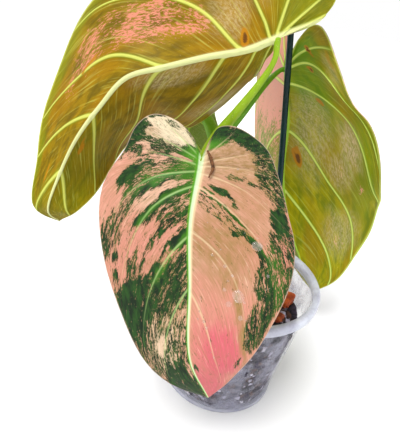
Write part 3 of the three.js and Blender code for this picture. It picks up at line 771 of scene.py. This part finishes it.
def under_finish(name, line_share, ground, shade, fresh, pink, vein_tone, rib_tone):
    """An underside: golden or green with fine lines along the veins, pink speckle and pale raised veins."""
    graph = Graph(name, Roughness=0.5, Specular_IOR_Level=0.14)
    tone = graph.noise(graph.place("streaks"), 1.8, 4, 0.6, 0.3)
    lines = graph.noise(graph.place("streaks", (0.16, 3.4, 1)), 3.0, 3, 0.55)
    speck = graph.noise(graph.place("streaks", (1, 1.4, 1)), 9.0, 4, 0.7)
    base = graph.mix(graph.step(tone, 0.3, 0.7), shade, ground)
    warm = graph.noise(graph.place("streaks"), 0.45, 2, 0.5)
    base = graph.tint(base, warm, 0.45, 0.62, colour(166, 112, 0), 0.0, 0.55)
    base = graph.mix("fresh", base, fresh)
    base = graph.tint(base, lines, 0.54, 0.72, vein_tone, 0.0, line_share)
    base = graph.tint(base, lines, 0.3, 0.45, shade, 0.35, 0.0)
    patch = graph.ragged(graph.ragged("pink", speck, 2.2), tone, 1.2)
    base = graph.tint(base, patch, 0.42, 0.72, pink, 0.0, 0.88)
    veil = graph.sum("MULTIPLY", "khaki", graph.step(speck, 0.42, 0.6, 0.25, 1.0))
    base = graph.mix(veil, base, colour(208, 188, 140))
    base = graph.tint(base, speck, 0.66, 0.74, colour(226, 216, 150), 0.0, 0.5)
    # Painted shade: a darker green flank beside each raised vein
    base = graph.tint(base, "vein", 0.01, 0.1, fresh, 0.0, 0.45)
    base = graph.tint(base, "vein", 0.12, 0.75, vein_tone, 0.0, 0.9)
    base = graph.tint(base, "rib", 0.12, 0.6, rib_tone)
    base = graph.tint(base, "reach", 0.97, 0.99, vein_tone, 0.0, 0.7)
    base = graph.tint(base, "spot", 0.1, 0.5, colour(186, 124, 10), 0.0, 0.9)
    base = graph.tint(base, "spot", 0.75, 1.0, colour(92, 54, 18), 0.0, 0.9)
    graph.bump(graph.sum("ADD", lines, graph.sum("MULTIPLY", speck, 0.4)), 0.0003, 0.6)
    return graph.finish(base, graph.step(speck, 0.3, 0.7, 0.4, 0.58))


variegated = upper_finish(
    "variegated_upper", colour(4, 30, 2), colour(38, 84, 18), colour(84, 156, 16), colour(106, 98, 30),
    colour(242, 226, 192), colour(212, 144, 124), colour(214, 92, 110), colour(158, 122, 72),
    colour(176, 208, 128), colour(226, 198, 156))
variegated_under = under_finish(
    "variegated_under", 0.3, colour(190, 150, 108), colour(110, 118, 50), colour(120, 130, 44),
    colour(216, 146, 124), colour(204, 208, 132), colour(196, 214, 116))
upper_under = under_finish(
    "golden_under", 0.38, colour(160, 126, 0), colour(106, 80, 0), colour(126, 138, 6), colour(226, 138, 118),
    colour(214, 220, 104), colour(224, 228, 160))
side_under = under_finish(
    "olive_under", 0.25, colour(190, 172, 0), colour(120, 120, 0), colour(98, 150, 6), colour(236, 158, 140),
    colour(214, 232, 112), colour(160, 204, 60))
back_under = under_finish(
    "green_under", 0.3, colour(100, 134, 14), colour(66, 98, 6), colour(96, 138, 14), colour(190, 148, 98),
    colour(180, 204, 84), colour(150, 188, 56))

LEAF_MATERIALS = {
    "front_leaf": (variegated_under, "front_blade"),
    "side_leaf": (side_under, "side_blade"),
    "upper_leaf": (upper_under, "upper_blade"),
    "back_leaf": (back_under, "back_blade"),
}
for leaf_name, (under_material, leaf_slot) in LEAF_MATERIALS.items():
    finish_piece(leaf_object(leaf_name, variegated, under_material), leaf_slot, leaf_name)


# Stems


RING_WIDTH = 0.02
TUBE_LEAST, TUBE_RIBS, TUBE_TWIST = 0.02, 7, 0.05


def tube_object(name, points, radii, material, steps=60, sides=28, ribbing=0.0, rings=(), cap=0.6):
    """A round stem through the points, with rounded ends, lengthwise ribbing and raised rings."""
    t = np.linspace(0, 1, steps + 1)
    middle = through(points, t)
    radius = through(radii, t)[:, 0]
    for at, height in rings:
        radius = radius + height * np.exp(-(((t - at) / RING_WIDTH) ** 2))
    along = unit(np.gradient(middle, axis=0))
    turns = np.linspace(0, np.pi / 2, 5)[:-1]
    start, end = [
        [
            (middle[i] + out * along[i] * radius[i] * cap * np.cos(k), along[i], radius[i] * np.sin(k))
            for k in turns
        ]
        for i, out in ((0, -1), (-1, 1))
    ]
    loops = start + list(zip(middle, along, radius)) + end[::-1]
    side = np.array([1.0, 0.0, 0.0])
    angles = np.linspace(0, 2 * np.pi, sides, endpoint=False)
    corners, shares = [], []
    for i, (centre, direction, size) in enumerate(loops):
        side = unit(side - (side @ direction) * direction)
        other = np.cross(direction, side)
        size = max(size, TUBE_LEAST) * (1 + ribbing * np.cos(TUBE_RIBS * angles + TUBE_TWIST * i))
        ring = np.outer(np.cos(angles) * size, side) + np.outer(np.sin(angles) * size, other)
        corners.append(centre + ring)
        shares.append(np.full(sides, i / (len(loops) - 1)))
    made = make_object(name, np.vstack(corners), ring_faces(len(loops), sides), (material,))
    add_values(made, "share", np.concatenate(shares))
    return made


def stem_finish(name, low, high, streak, scale, roughness=0.42, spot=0.0):
    graph = Graph(name, Roughness=roughness, Specular_IOR_Level=0.3)
    cloud = graph.noise(graph.place(scale=(1, 1, 0.25)), scale, 4, 0.6)
    grain = graph.noise(graph.place(scale=(1, 1, 0.06)), scale * 9, 3, 0.6)
    base = graph.mix("share", low, high)
    base = graph.tint(base, cloud, 0.35, 0.7, streak, 0.0, 0.55)
    base = graph.tint(base, grain, 0.45, 0.75, low, 0.0, 0.4)
    if spot:
        dots = graph.cells(graph.place(), scale * 12)
        base = graph.mix(graph.step(dots, 0.08, 0.2, spot, 0.0), base, colour(240, 245, 190))
    graph.bump(grain, 0.0003, 0.5)
    return graph.finish(base, graph.step(grain, 0.3, 0.7, roughness - 0.08, roughness + 0.12))


petiole_finish = stem_finish(
    "petiole_green", colour(92, 130, 2), colour(136, 176, 6), colour(168, 200, 44), 60, 0.38, 0.2)
side_petiole_finish = stem_finish(
    "petiole_deep", colour(80, 128, 16), colour(96, 160, 20), colour(140, 190, 40), 60, 0.38, 0.15)
stem_green = stem_finish(
    "stem_green", colour(92, 84, 36), colour(104, 140, 36), colour(136, 160, 70), 70, 0.5, 0.2)
root_brown = stem_finish(
    "root_brown", colour(104, 72, 40), colour(150, 112, 66), colour(176, 146, 98), 160, 0.8)
stake_teal = stem_finish("stake_teal", colour(0, 30, 30), colour(0, 36, 38), colour(0, 52, 50), 90, 0.25)

PETIOLES = {
    "upper_petiole": (
        "upper_leaf",
        [[-32, -5, 141], [-33, -7, 155], [-29, -8, 168], [-21, -8, 183], [-13, -7, 198], [-9, -8, 209]],
        [3.2, 3.3, 3, 2.3, 1.7, 1.3, 1.5],
        petiole_finish,
    ),
    "side_petiole": (
        "side_leaf",
        [[-27, -4, 134], [-29, 3, 150], [-26, 6, 162], [-17, 14, 177], [-8, 27, 190], [-1, 38, 196.5]],
        [3, 3, 2.6, 2.1, 1.7, 1.3, 1.5],
        side_petiole_finish,
    ),
    "front_petiole": (
        "front_leaf",
        [[-29, -5, 132], [-32, -14, 143], [-34, -24, 156]],
        [3, 2.8, 2.3, 1.8],
        petiole_finish,
    ),
    "back_petiole": (
        "back_leaf",
        [[-16, -1, 104], [-19, 12, 122], [-25, 32, 141], [-32, 46, 153], [-39, 50, 161]],
        [2.8, 3, 3.8, 4.1, 3.2, 1.8],
        side_petiole_finish,
    ),
}
for petiole_name, (leaf_name, points, radii, finish) in PETIOLES.items():
    middle, _, up, _ = BLADES[leaf_name].frame_at(np.array(0.0))
    path = points + [(middle - up * (BLADE_HALF + RIB_HEIGHT * 0.6)).tolist()]
    made = tube_object(petiole_name + "_stalk", path, radii, finish, 80, 32, 0.012, [(0.04, 0.35)])
    finish_piece(made, "petiole", petiole_name)

STEM_RINGS = [(0.42, 0.5), (0.55, 0.45), (0.68, 0.5), (0.8, 0.45), (0.91, 0.4)]
stem = tube_object("main_stem", [[-6, 3, 24], [-7, 2, 62], [-14, 0, 98], [-24, -3, 128], [-33, -5, 147]],
                   [4.6, 4.8, 4.6, 4.4, 3.2], stem_green, 160, 40, 0.01, STEM_RINGS)
finish_piece(stem, "stem", "stem")

AERIAL_ROOTS = [
    [[-11, -1, 88], [-17, -9, 80], [-20, -15, 66], [-19, -18, 50]],
    [[-9, 3, 78], [-12, 11, 72], [-17, 17, 62], [-19, 20, 48]],
    [[-20, -2, 116], [-10, -8, 100], [-3, -13, 80], [0, -16, 50]],
]
for i, points in enumerate(AERIAL_ROOTS):
    made = tube_object(f"root_{i + 1}", points, [1.6, 1.5, 1.3, 1], root_brown, 70, 20, 0.05)
    finish_piece(made, "root", f"aerial_root_{i + 1}")

STAKE_BASE, STAKE_TOP = np.array([30.2, -7.7, 22]), np.array([-2.7, 26.2, 230])
stake = tube_object("coated_stake", [STAKE_BASE, lerp(STAKE_BASE, STAKE_TOP, 0.5), STAKE_TOP], [1.65] * 3,
                    stake_teal, 60, 32, 0.02)
finish_piece(stake, "stake", "stake")


# The cup

CUP_HEIGHT, RIM_RADIUS, RIM_WIDTH, RIM_DEPTH = 83.3, 50, 4.6, 6
FOOT_RADIUS, FOOT_HEIGHT, WALL, FLOOR = 36.8, 4, 1, 1.6
BODY_TOP = RIM_RADIUS - RIM_WIDTH + WALL
CUP_SIDES = 144


def body_radius(z):
    share = (np.asarray(z, float) - FOOT_HEIGHT) / (CUP_HEIGHT - FOOT_HEIGHT)
    return lerp(FOOT_RADIUS, BODY_TOP, clamp01(share))


def arc(centre, radius, start, end, steps=6):
    angles = np.radians(np.linspace(start, end, steps))
    return [(centre[0] + radius * math.cos(k), centre[1] + radius * math.sin(k)) for k in angles]


def cup_profile():
    """The cup's section from the middle of its underside round to the middle of its floor."""
    under = CUP_HEIGHT - RIM_DEPTH
    inner = BODY_TOP - WALL
    profile = [(0.01, 0.9), (FOOT_RADIUS - 5, 0.9), (FOOT_RADIUS - 4, 0)]
    profile += arc((FOOT_RADIUS - 0.6, 0.9), 0.9, -90, 0)
    profile += [(FOOT_RADIUS + 0.3, FOOT_HEIGHT - 0.6)]
    profile += [(float(body_radius(FOOT_HEIGHT)) + 0.1, FOOT_HEIGHT + 0.6)]
    profile += [(float(body_radius(z)), z) for z in np.linspace(FOOT_HEIGHT + 3, under - 2, 16)]
    profile += [(float(body_radius(under)), under - 0.6), (float(body_radius(under)) + 0.6, under)]
    profile += arc((RIM_RADIUS - 1.4, under + 1.4), 1.4, -90, 0)
    profile += arc((RIM_RADIUS - 2.2, CUP_HEIGHT - 2.2), 2.2, 0, 90)
    profile += arc((inner + 1.8, CUP_HEIGHT - 1.8), 1.8, 90, 180)
    profile += [(float(body_radius(z)) - WALL, z) for z in np.linspace(under - 1, FOOT_HEIGHT + 1, 16)]
    profile += arc((FOOT_RADIUS - WALL - 2.4, FLOOR + 2.4), 2.4, 0, -90)
    return profile + [(0.01, FLOOR)]


def lathe(name, profile, sides, materials):
    angles = np.linspace(0, 2 * np.pi, sides, endpoint=False)
    corners = [[r * math.cos(k), r * math.sin(k), z] for r, z in profile for k in angles]
    return make_object(name, corners, ring_faces(len(profile), sides), materials)


def box_cutter(size, at, turn):
    half = np.array(size) / 2
    signs = np.array([[x, y, z] for x in (-1, 1) for y in (-1, 1) for z in (-1, 1)])
    corners = signs * half + np.array(at)
    faces = [(0, 1, 3, 2), (4, 6, 7, 5), (0, 4, 5, 1), (2, 3, 7, 6), (0, 2, 6, 4), (1, 5, 7, 3)]
    return corners @ spin(turn).T, faces


def round_cutter(radius, low, high, at, sides=24):
    angles = np.linspace(0, 2 * np.pi, sides, endpoint=False)
    ring = np.stack([at[0] + radius * np.cos(angles), at[1] + radius * np.sin(angles)], -1)
    corners = np.vstack([np.column_stack([ring, np.full(sides, z)]) for z in (low, high)])
    walls = [(k, (k + 1) % sides, sides + (k + 1) % sides, sides + k) for k in range(sides)]
    return corners, walls + [tuple(range(sides))[::-1], tuple(range(sides, 2 * sides))]


def cut(made, cutters):
    """Cuts the given closed bodies out of an object, and removes them."""
    corners, faces = [], []
    for points, sides in cutters:
        shift = sum(len(part) for part in corners)
        corners.append(points)
        faces += [tuple(index + shift for index in side) for side in sides]
    tool = make_object("cutter", np.vstack(corners), faces)
    change = made.modifiers.new("cut", "BOOLEAN")
    change.operation = "DIFFERENCE"
    change.solver = "EXACT"
    change.object = tool
    depsgraph = bpy.context.evaluated_depsgraph_get()
    result = bpy.data.meshes.new_from_object(made.evaluated_get(depsgraph))
    made.modifiers.clear()
    made.data = result
    bpy.data.objects.remove(tool)


def cup_finish():
    graph = Graph("clear_cup_plastic", Roughness=0.2)
    haze = graph.noise(graph.place(), 80, 5, 0.7)
    drops = graph.cells(graph.place(), 420)
    thick = graph.value("thick")
    base = graph.mix(thick, colour(206, 206, 222), colour(222, 226, 240))
    base = graph.tint(base, haze, 0.35, 0.7, colour(176, 176, 196))
    veil = graph.step(haze, 0.4, 0.66, 0.05, 0.4)
    graph.put(graph.shader.inputs["Alpha"], graph.sum("MAXIMUM", veil, graph.sum("MULTIPLY", thick, 0.82)))
    graph.bump(graph.step(drops, 0.0, 0.4), 0.0002, 0.3)
    return graph.finish(base, graph.step(haze, 0.3, 0.7, 0.16, 0.34))


cup = lathe("nursery_cup", cup_profile(), CUP_SIDES, (cup_finish(),))
SLOT_COUNT, SLOT_HEIGHT, SLOT_SIZE = 8, 40, [4 * WALL, 1.4, 5]
HOLE_COUNT, HOLE_RING, HOLE_RADIUS = 6, 25, 2.6
slot_cutters = []
for i in range(SLOT_COUNT):
    turn = 2 * math.pi * (i + 0.4) / SLOT_COUNT
    slot_at = [float(body_radius(SLOT_HEIGHT)) - WALL / 2, 0, SLOT_HEIGHT]
    slot_cutters.append(box_cutter(SLOT_SIZE, slot_at, turn))
for i in range(HOLE_COUNT):
    turn = 2 * math.pi * i / HOLE_COUNT
    hole_at = [HOLE_RING * math.cos(turn), HOLE_RING * math.sin(turn)]
    slot_cutters.append(round_cutter(HOLE_RADIUS, -1, 4, hole_at))
cut(cup, slot_cutters)
cup.data.set_sharp_from_angle(angle=math.radians(40))
cup_heights = np.array([corner.co.z for corner in cup.data.vertices]) / MM
at_rim = smooth(CUP_HEIGHT - RIM_DEPTH - 0.8, CUP_HEIGHT - RIM_DEPTH + 0.4, cup_heights)
add_values(cup, "thick", np.maximum(at_rim, 0.6 * smooth(FOOT_HEIGHT + 1, FOOT_HEIGHT - 0.5, cup_heights)))
finish_piece(cup, "clear_cup", "cup")


# The potting mix, a body of grains, and the bark chips on it

MIX_TOP = 60
MIX_RIPPLES = [(1.1, 0.17, 0.11), (0.8, -0.12, 0.24), (0.5, 0.41, -0.33), (0.4, 0.29, 0.57)]
GRAIN_COUNT = 3600


def mix_height(x, y):
    return MIX_TOP + sum(height * np.sin(by_x * x + by_y * y) for height, by_x, by_y in MIX_RIPPLES)


def mix_surface(sides=260, wall_rows=80, top_rings=56):
    """The corners of the mix row by row, from the middle of its underside up to the middle of its top."""
    angles = np.linspace(0, 2 * np.pi, sides, endpoint=False)
    rows = [(radius, np.full(sides, 1.95)) for radius in np.linspace(0.3, 31.5, 8)]
    for z in np.linspace(FOOT_HEIGHT + 0.4, MIX_TOP - 1.5, wall_rows):
        rows.append((float(body_radius(z)) - WALL - 0.4, np.full(sides, z)))
    outer = float(body_radius(MIX_TOP)) - WALL - 0.4
    for share in np.linspace(0.985, 0.004, top_rings):
        radius = outer * share
        rows.append((radius, mix_height(radius * np.cos(angles), radius * np.sin(angles))))
    return np.array([np.column_stack([r * np.cos(angles), r * np.sin(angles), z]) for r, z in rows])


def grains_of(points, seed=5):
    """Which grain each point belongs to, how deep in it the point lies, and a random value for each grain."""
    rng = np.random.default_rng(seed)
    flat = points.reshape(-1, 3)
    centres = flat[rng.choice(len(flat), GRAIN_COUNT, replace=False)] + rng.normal(0, 0.8, (GRAIN_COUNT, 3))
    sizes = rng.choice([0.0, 0.4, 0.9], GRAIN_COUNT, p=[0.62, 0.28, 0.1])
    nearest = np.full(len(flat), FAR)
    second = np.full(len(flat), FAR)
    owner = np.zeros(len(flat), int)
    for k, centre in enumerate(centres):
        far = np.linalg.norm(flat - centre, axis=1) - sizes[k]
        closer = far < nearest
        second = np.where(closer, nearest, np.minimum(second, far))
        owner[closer] = k
        nearest = np.where(closer, far, nearest)
    return owner, second - nearest, rng.random(GRAIN_COUNT)[owner], sizes[owner]


def mix_object():
    points = mix_surface()
    rows, sides, _ = points.shape
    owner, inside, chance, size = grains_of(points)
    bulge = smooth(0.0, 1.1, inside) * lerp(0.5, 1.6, size)
    flat = points.reshape(-1, 3)
    by_row = np.gradient(points, axis=0)
    by_side = np.roll(points, -1, axis=1) - np.roll(points, 1, axis=1)
    normal = unit(np.cross(by_side, by_row)).reshape(-1, 3)
    on_top = (flat[:, 2] > MIX_TOP - 4) & (np.hypot(flat[:, 0], flat[:, 1]) < 41)
    flat = flat + normal * np.where(on_top, bulge, (bulge - 1.1) * 0.5)[:, None]
    made = make_object("mix_body", flat, ring_faces(rows, sides), (mix_finish(),))
    add_values(made, "chance", chance)
    # How deep in its grain each point lies; the material uses it to darken the grain edges as painted shade
    add_values(made, "inside", smooth(0.0, 0.8, inside))
    return made


def mix_finish():
    graph = Graph("potting_mix_grains", Roughness=0.9)
    chance = graph.value("chance")
    speck = graph.noise(graph.place(), 700, 4, 0.7)
    cloud = graph.noise(graph.place(), 60, 3, 0.6)
    base = graph.mix(graph.step(cloud, 0.35, 0.65), colour(12, 9, 16), colour(70, 58, 80))
    base = graph.tint(base, chance, 0.5, 0.52, colour(84, 74, 88))
    base = graph.tint(base, chance, 0.66, 0.68, colour(84, 52, 36))
    base = graph.tint(base, chance, 0.84, 0.86, colour(196, 190, 210))
    base = graph.tint(base, chance, 0.94, 0.96, colour(236, 232, 242))
    base = graph.tint(base, speck, 0.4, 0.7, colour(36, 28, 30), 0.0, 0.35)
    # Painted shade: the grain edges, in the gaps between grains, turn near black
    base = graph.mix("inside", colour(26, 20, 24), base)
    graph.bump(speck, 0.0006, 0.8)
    return graph.finish(base, graph.step(speck, 0.3, 0.7, 0.75, 0.95))


finish_piece(mix_object(), "mix", "potting_mix")


def bark_finish():
    graph = Graph("bark_grain", Roughness=0.7)
    grain = graph.noise(graph.place(scale=(1, 3.2, 3.2)), 260, 5, 0.65, 0.6)
    cloud = graph.noise(graph.place(), 90, 3, 0.6)
    base = graph.mix(graph.step(cloud, 0.35, 0.65), colour(150, 54, 8), colour(214, 96, 20))
    base = graph.tint(base, grain, 0.5, 0.75, colour(222, 130, 60), 0.0, 0.8)
    base = graph.tint(base, grain, 0.25, 0.42, colour(60, 22, 12), 0.9, 0.0)
    graph.bump(grain, 0.0008, 0.9)
    return graph.finish(base, graph.step(grain, 0.3, 0.7, 0.5, 0.8))


# Size and turn of each chip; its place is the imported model's
CHIPS = [
    ([15, 9, 5], 65), ([13, 8, 5], -20), ([12, 8, 4.5], 30), ([14, 9, 5], 10), ([13, 8, 4.5], -35),
    ([11, 8, 4.5], 50), ([13, 8, 5], 15), ([12, 8, 5], 75), ([11, 7, 4.5], 100), ([10, 7, 4], -10),
]
CHIP_GRID = 14


def chip_object(index, size, turn, material):
    """A blocky flake: a cube's skin pushed to blunt corners, with split ends and grain along its length."""
    low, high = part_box(f"bark_chip_{index:02d}")
    centre = (np.array(low) + np.array(high)) / 2 / MM
    steps = np.linspace(-1, 1, CHIP_GRID)
    corners, faces = [], []
    for axis in range(3):
        for sign in (-1, 1):
            u, v = np.meshgrid(steps, steps, indexing="ij")
            skin = np.zeros((CHIP_GRID, CHIP_GRID, 3))
            skin[..., axis] = sign
            skin[..., (axis + 1) % 3] = u
            skin[..., (axis + 2) % 3] = v
            grid = np.arange(CHIP_GRID**2).reshape(CHIP_GRID, CHIP_GRID) + len(corners)
            quads = grid_quads(grid.T)
            faces += (quads if sign > 0 else quads[:, ::-1]).tolist()
            corners += skin.reshape(-1, 3).tolist()
    skin = np.array(corners)
    skin = skin / np.linalg.norm(skin, ord=5, axis=1, keepdims=True)
    shift = 13.7 * index
    grain = wavy(skin[:, 1] * 5 + shift, skin[:, 2] * 4 + shift) - 0.5
    lump = wavy(skin[:, 0] * 1.6 + shift, skin[:, 1] * 1.3 + skin[:, 2]) - 0.5
    split = wavy(skin[:, 1] * 9 + shift, skin[:, 2] * 7) - 0.5
    skin = skin * (1 + 0.12 * grain + 0.35 * lump)[:, None]
    skin[:, 0] *= 1 + 0.25 * split * smooth(0.5, 1, np.abs(skin[:, 0]))
    skin = skin * np.array(size) / 2 * 0.92
    skin = skin @ spin(math.radians(turn)).T
    skin[:, 2] += low.z / MM - skin[:, 2].min()
    skin[:, :2] += centre[:2]
    made = make_object(f"bark_flake_{index:02d}", skin, faces, (material,))
    weld(made, 0.01)
    made.data.set_sharp_from_angle(angle=math.radians(50))
    return made


bark = bark_finish()
for i, (size, turn) in enumerate(CHIPS):
    finish_piece(chip_object(i + 1, size, turn, bark), "bark", f"bark_chip_{i + 1:02d}")


# The dry sheath at the front leaf's sinus


def sheath_finish():
    graph = Graph("dry_sheath_paper", Roughness=0.8)
    grain = graph.noise(graph.place(), 500, 4, 0.7)
    base = graph.mix(graph.step(grain, 0.35, 0.65), colour(70, 40, 20), colour(136, 88, 48))
    graph.bump(grain, 0.0004, 0.8)
    return graph.finish(base)


front = BLADES["front_leaf"]
sheath_flat = np.array([[2.5, -5], [4.5, -1], [6, 4], [5, 9]], float)
sheath_path = front.point_at(sheath_flat[:, 0], sheath_flat[:, 1], 1)
sheath_path = sheath_path + 1.8 * front.normal_at(sheath_flat[:, 0], sheath_flat[:, 1], 1)
sheath = tube_object("dry_sheath_curl", sheath_path, [0.35, 0.65, 0.6, 0.3], sheath_finish(), 50, 18, 0.25,
                     [(0.3, 0.2), (0.62, 0.15)])
finish_piece(sheath, "dry_sheath", "dry_sheath")


# Water drops on the front leaf: station, reach, radius


def water_finish():
    # Painted reflection: the drops' near-white colour at low alpha lightens the leaf beneath, in place of the
    # light the water reflects
    graph = Graph("clear_water", Roughness=0.03, Alpha=0.2, Specular_IOR_Level=1.0)
    cloud = graph.noise(graph.place(), 200, 2, 0.5)
    return graph.finish(graph.mix(graph.step(cloud, 0.3, 0.7), colour(255, 236, 226), colour(236, 214, 200)))


BIG_DROPS = [(7.75, 0.56, 2.6), (8.95, 0.52, 3.2), (9.2, 0.44, 2.0), (9.0, 0.36, 1.5), (6.7, 0.52, 1.0),
             (9.25, 0.62, 1.4), (5.1, 0.3, 0.9), (4.6, 0.36, 0.9), (5.0, 0.42, 0.8)]
SMALL_DROPS = 90
DROP_SIDES, DROP_RINGS = 20, 7
DROP_HEIGHT, DROP_LIFT = 0.45, 0.3


def drops_object():
    rng = np.random.default_rng(21)
    places = list(BIG_DROPS)
    for _ in range(SMALL_DROPS):
        places.append((rng.uniform(7.4, 10.6), rng.uniform(0.12, 0.85), rng.uniform(0.35, 0.95)))
    corners, faces = [], []
    turns = np.linspace(0, 2 * np.pi, DROP_SIDES, endpoint=False)
    heights = np.linspace(0, np.pi / 2, DROP_RINGS)
    for station, out, radius in places:
        x, y = front.flat_at(np.array(station / STATIONS), np.array(out), 1)
        centre, normal = front.point_at(x, y, 1), front.normal_at(x, y, 1)
        side = unit(np.cross(normal, [0.3, 0.1, 1]))
        other = np.cross(normal, side)
        start = len(corners)
        for rise in heights[:-1]:
            for turn in turns:
                flat = radius * math.cos(rise) * (1 + 0.12 * math.sin(2 * turn + station))
                sideways = flat * (math.cos(turn) * side + math.sin(turn) * other)
                lift = DROP_LIFT + DROP_HEIGHT * radius * math.sin(rise)
                corners.append(centre + sideways + normal * lift)
        corners.append(centre + normal * (DROP_LIFT + DROP_HEIGHT * radius))
        grid = start + np.arange((DROP_RINGS - 1) * DROP_SIDES).reshape(-1, DROP_SIDES)
        faces += grid_quads(grid, True).tolist()
        ring, beside = grid[-1].tolist(), np.roll(grid[-1], -1).tolist()
        faces += [(*pair, len(corners) - 1) for pair in zip(ring, beside)]
        faces.append(tuple(grid[0][::-1].tolist()))
    return make_object("water_drops", corners, faces, (water_finish(),))


finish_piece(drops_object(), "clear_cup")


# The floor, the light and the camera


FLOOR_HALF, FLOOR_DROP = 3000, 0.3
floor_tone = Graph("pale_floor", Roughness=0.9).finish((0.9, 0.9, 0.9, 1))
floor_signs = ((-1, -1), (1, -1), (1, 1), (-1, 1))
floor_corners = [[x * FLOOR_HALF, y * FLOOR_HALF, -FLOOR_DROP] for x, y in floor_signs]
floor = make_object("floor", floor_corners, [(0, 1, 2, 3)], (floor_tone,))

world = bpy.data.worlds.new("studio")
world.use_nodes = True
sky = world.node_tree.nodes
height = sky.new("ShaderNodeSeparateXYZ")
dimming = sky.new("ShaderNodeMapRange")
dimming.interpolation_type = "SMOOTHSTEP"
for socket, value in {"From Min": 0.12, "From Max": 0.5, "To Min": 1.0, "To Max": 0.45}.items():
    dimming.inputs[socket].default_value = value
world.node_tree.links.new(sky.new("ShaderNodeTexCoord").outputs["Generated"], height.inputs["Vector"])
world.node_tree.links.new(height.outputs["Z"], dimming.inputs["Value"])
world.node_tree.links.new(dimming.outputs["Result"], sky["Background"].inputs["Strength"])
sky["Background"].inputs["Color"].default_value = (1, 1, 1, 1)
bpy.context.scene.world = world


def add_light(name, at, aim, size, power, kind="AREA"):
    data = bpy.data.lights.new(name, kind)
    data.energy = power
    if kind == "AREA":
        data.shape = "DISK"
        data.size = size
    else:
        data.angle = size
    made = bpy.data.objects.new(name, data)
    bpy.context.scene.collection.objects.link(made)
    direction = (Vector(at) - Vector(aim)).normalized()
    made.matrix_world = Matrix.Translation(at) @ direction.to_track_quat("Z", "Y").to_matrix().to_4x4()


add_light("key", (-0.35, -0.45, 1.0), (0, 0, 0.12), math.radians(24), 2.6, "SUN")
add_light("fill", (0.9, -0.3, 0.5), (0, 0, 0.12), 0.8, 2)
add_light("back", (0.2, 0.9, 0.7), (0, 0, 0.15), 0.8, 5)

bpy.context.scene.view_settings.view_transform = "Standard"

PHOTO_HEIGHT = 445
FOCAL_PIXELS = 450
SENSOR = 36
CAMERA_AT = (-29.6, -227.0, 242.0)
PITCH, ROLL = math.radians(29.6), math.radians(10.1)

camera_data = bpy.data.cameras.new("camera")
camera_data.sensor_width = SENSOR
camera_data.lens = SENSOR * FOCAL_PIXELS / PHOTO_HEIGHT
camera_data.clip_start = 0.01
camera = bpy.data.objects.new("camera", camera_data)
bpy.context.scene.collection.objects.link(camera)
right = (math.cos(ROLL), math.sin(ROLL) * math.sin(PITCH), math.sin(ROLL) * math.cos(PITCH))
above = (-math.sin(ROLL), math.cos(ROLL) * math.sin(PITCH), math.cos(ROLL) * math.cos(PITCH))
behind = (0, -math.cos(PITCH), math.sin(PITCH))
columns = Matrix((right, above, behind)).transposed().to_4x4()
camera.matrix_world = Matrix.Translation([value * MM for value in CAMERA_AT]) @ columns
bpy.context.scene.camera = camera

bpy.context.view_layer.update()
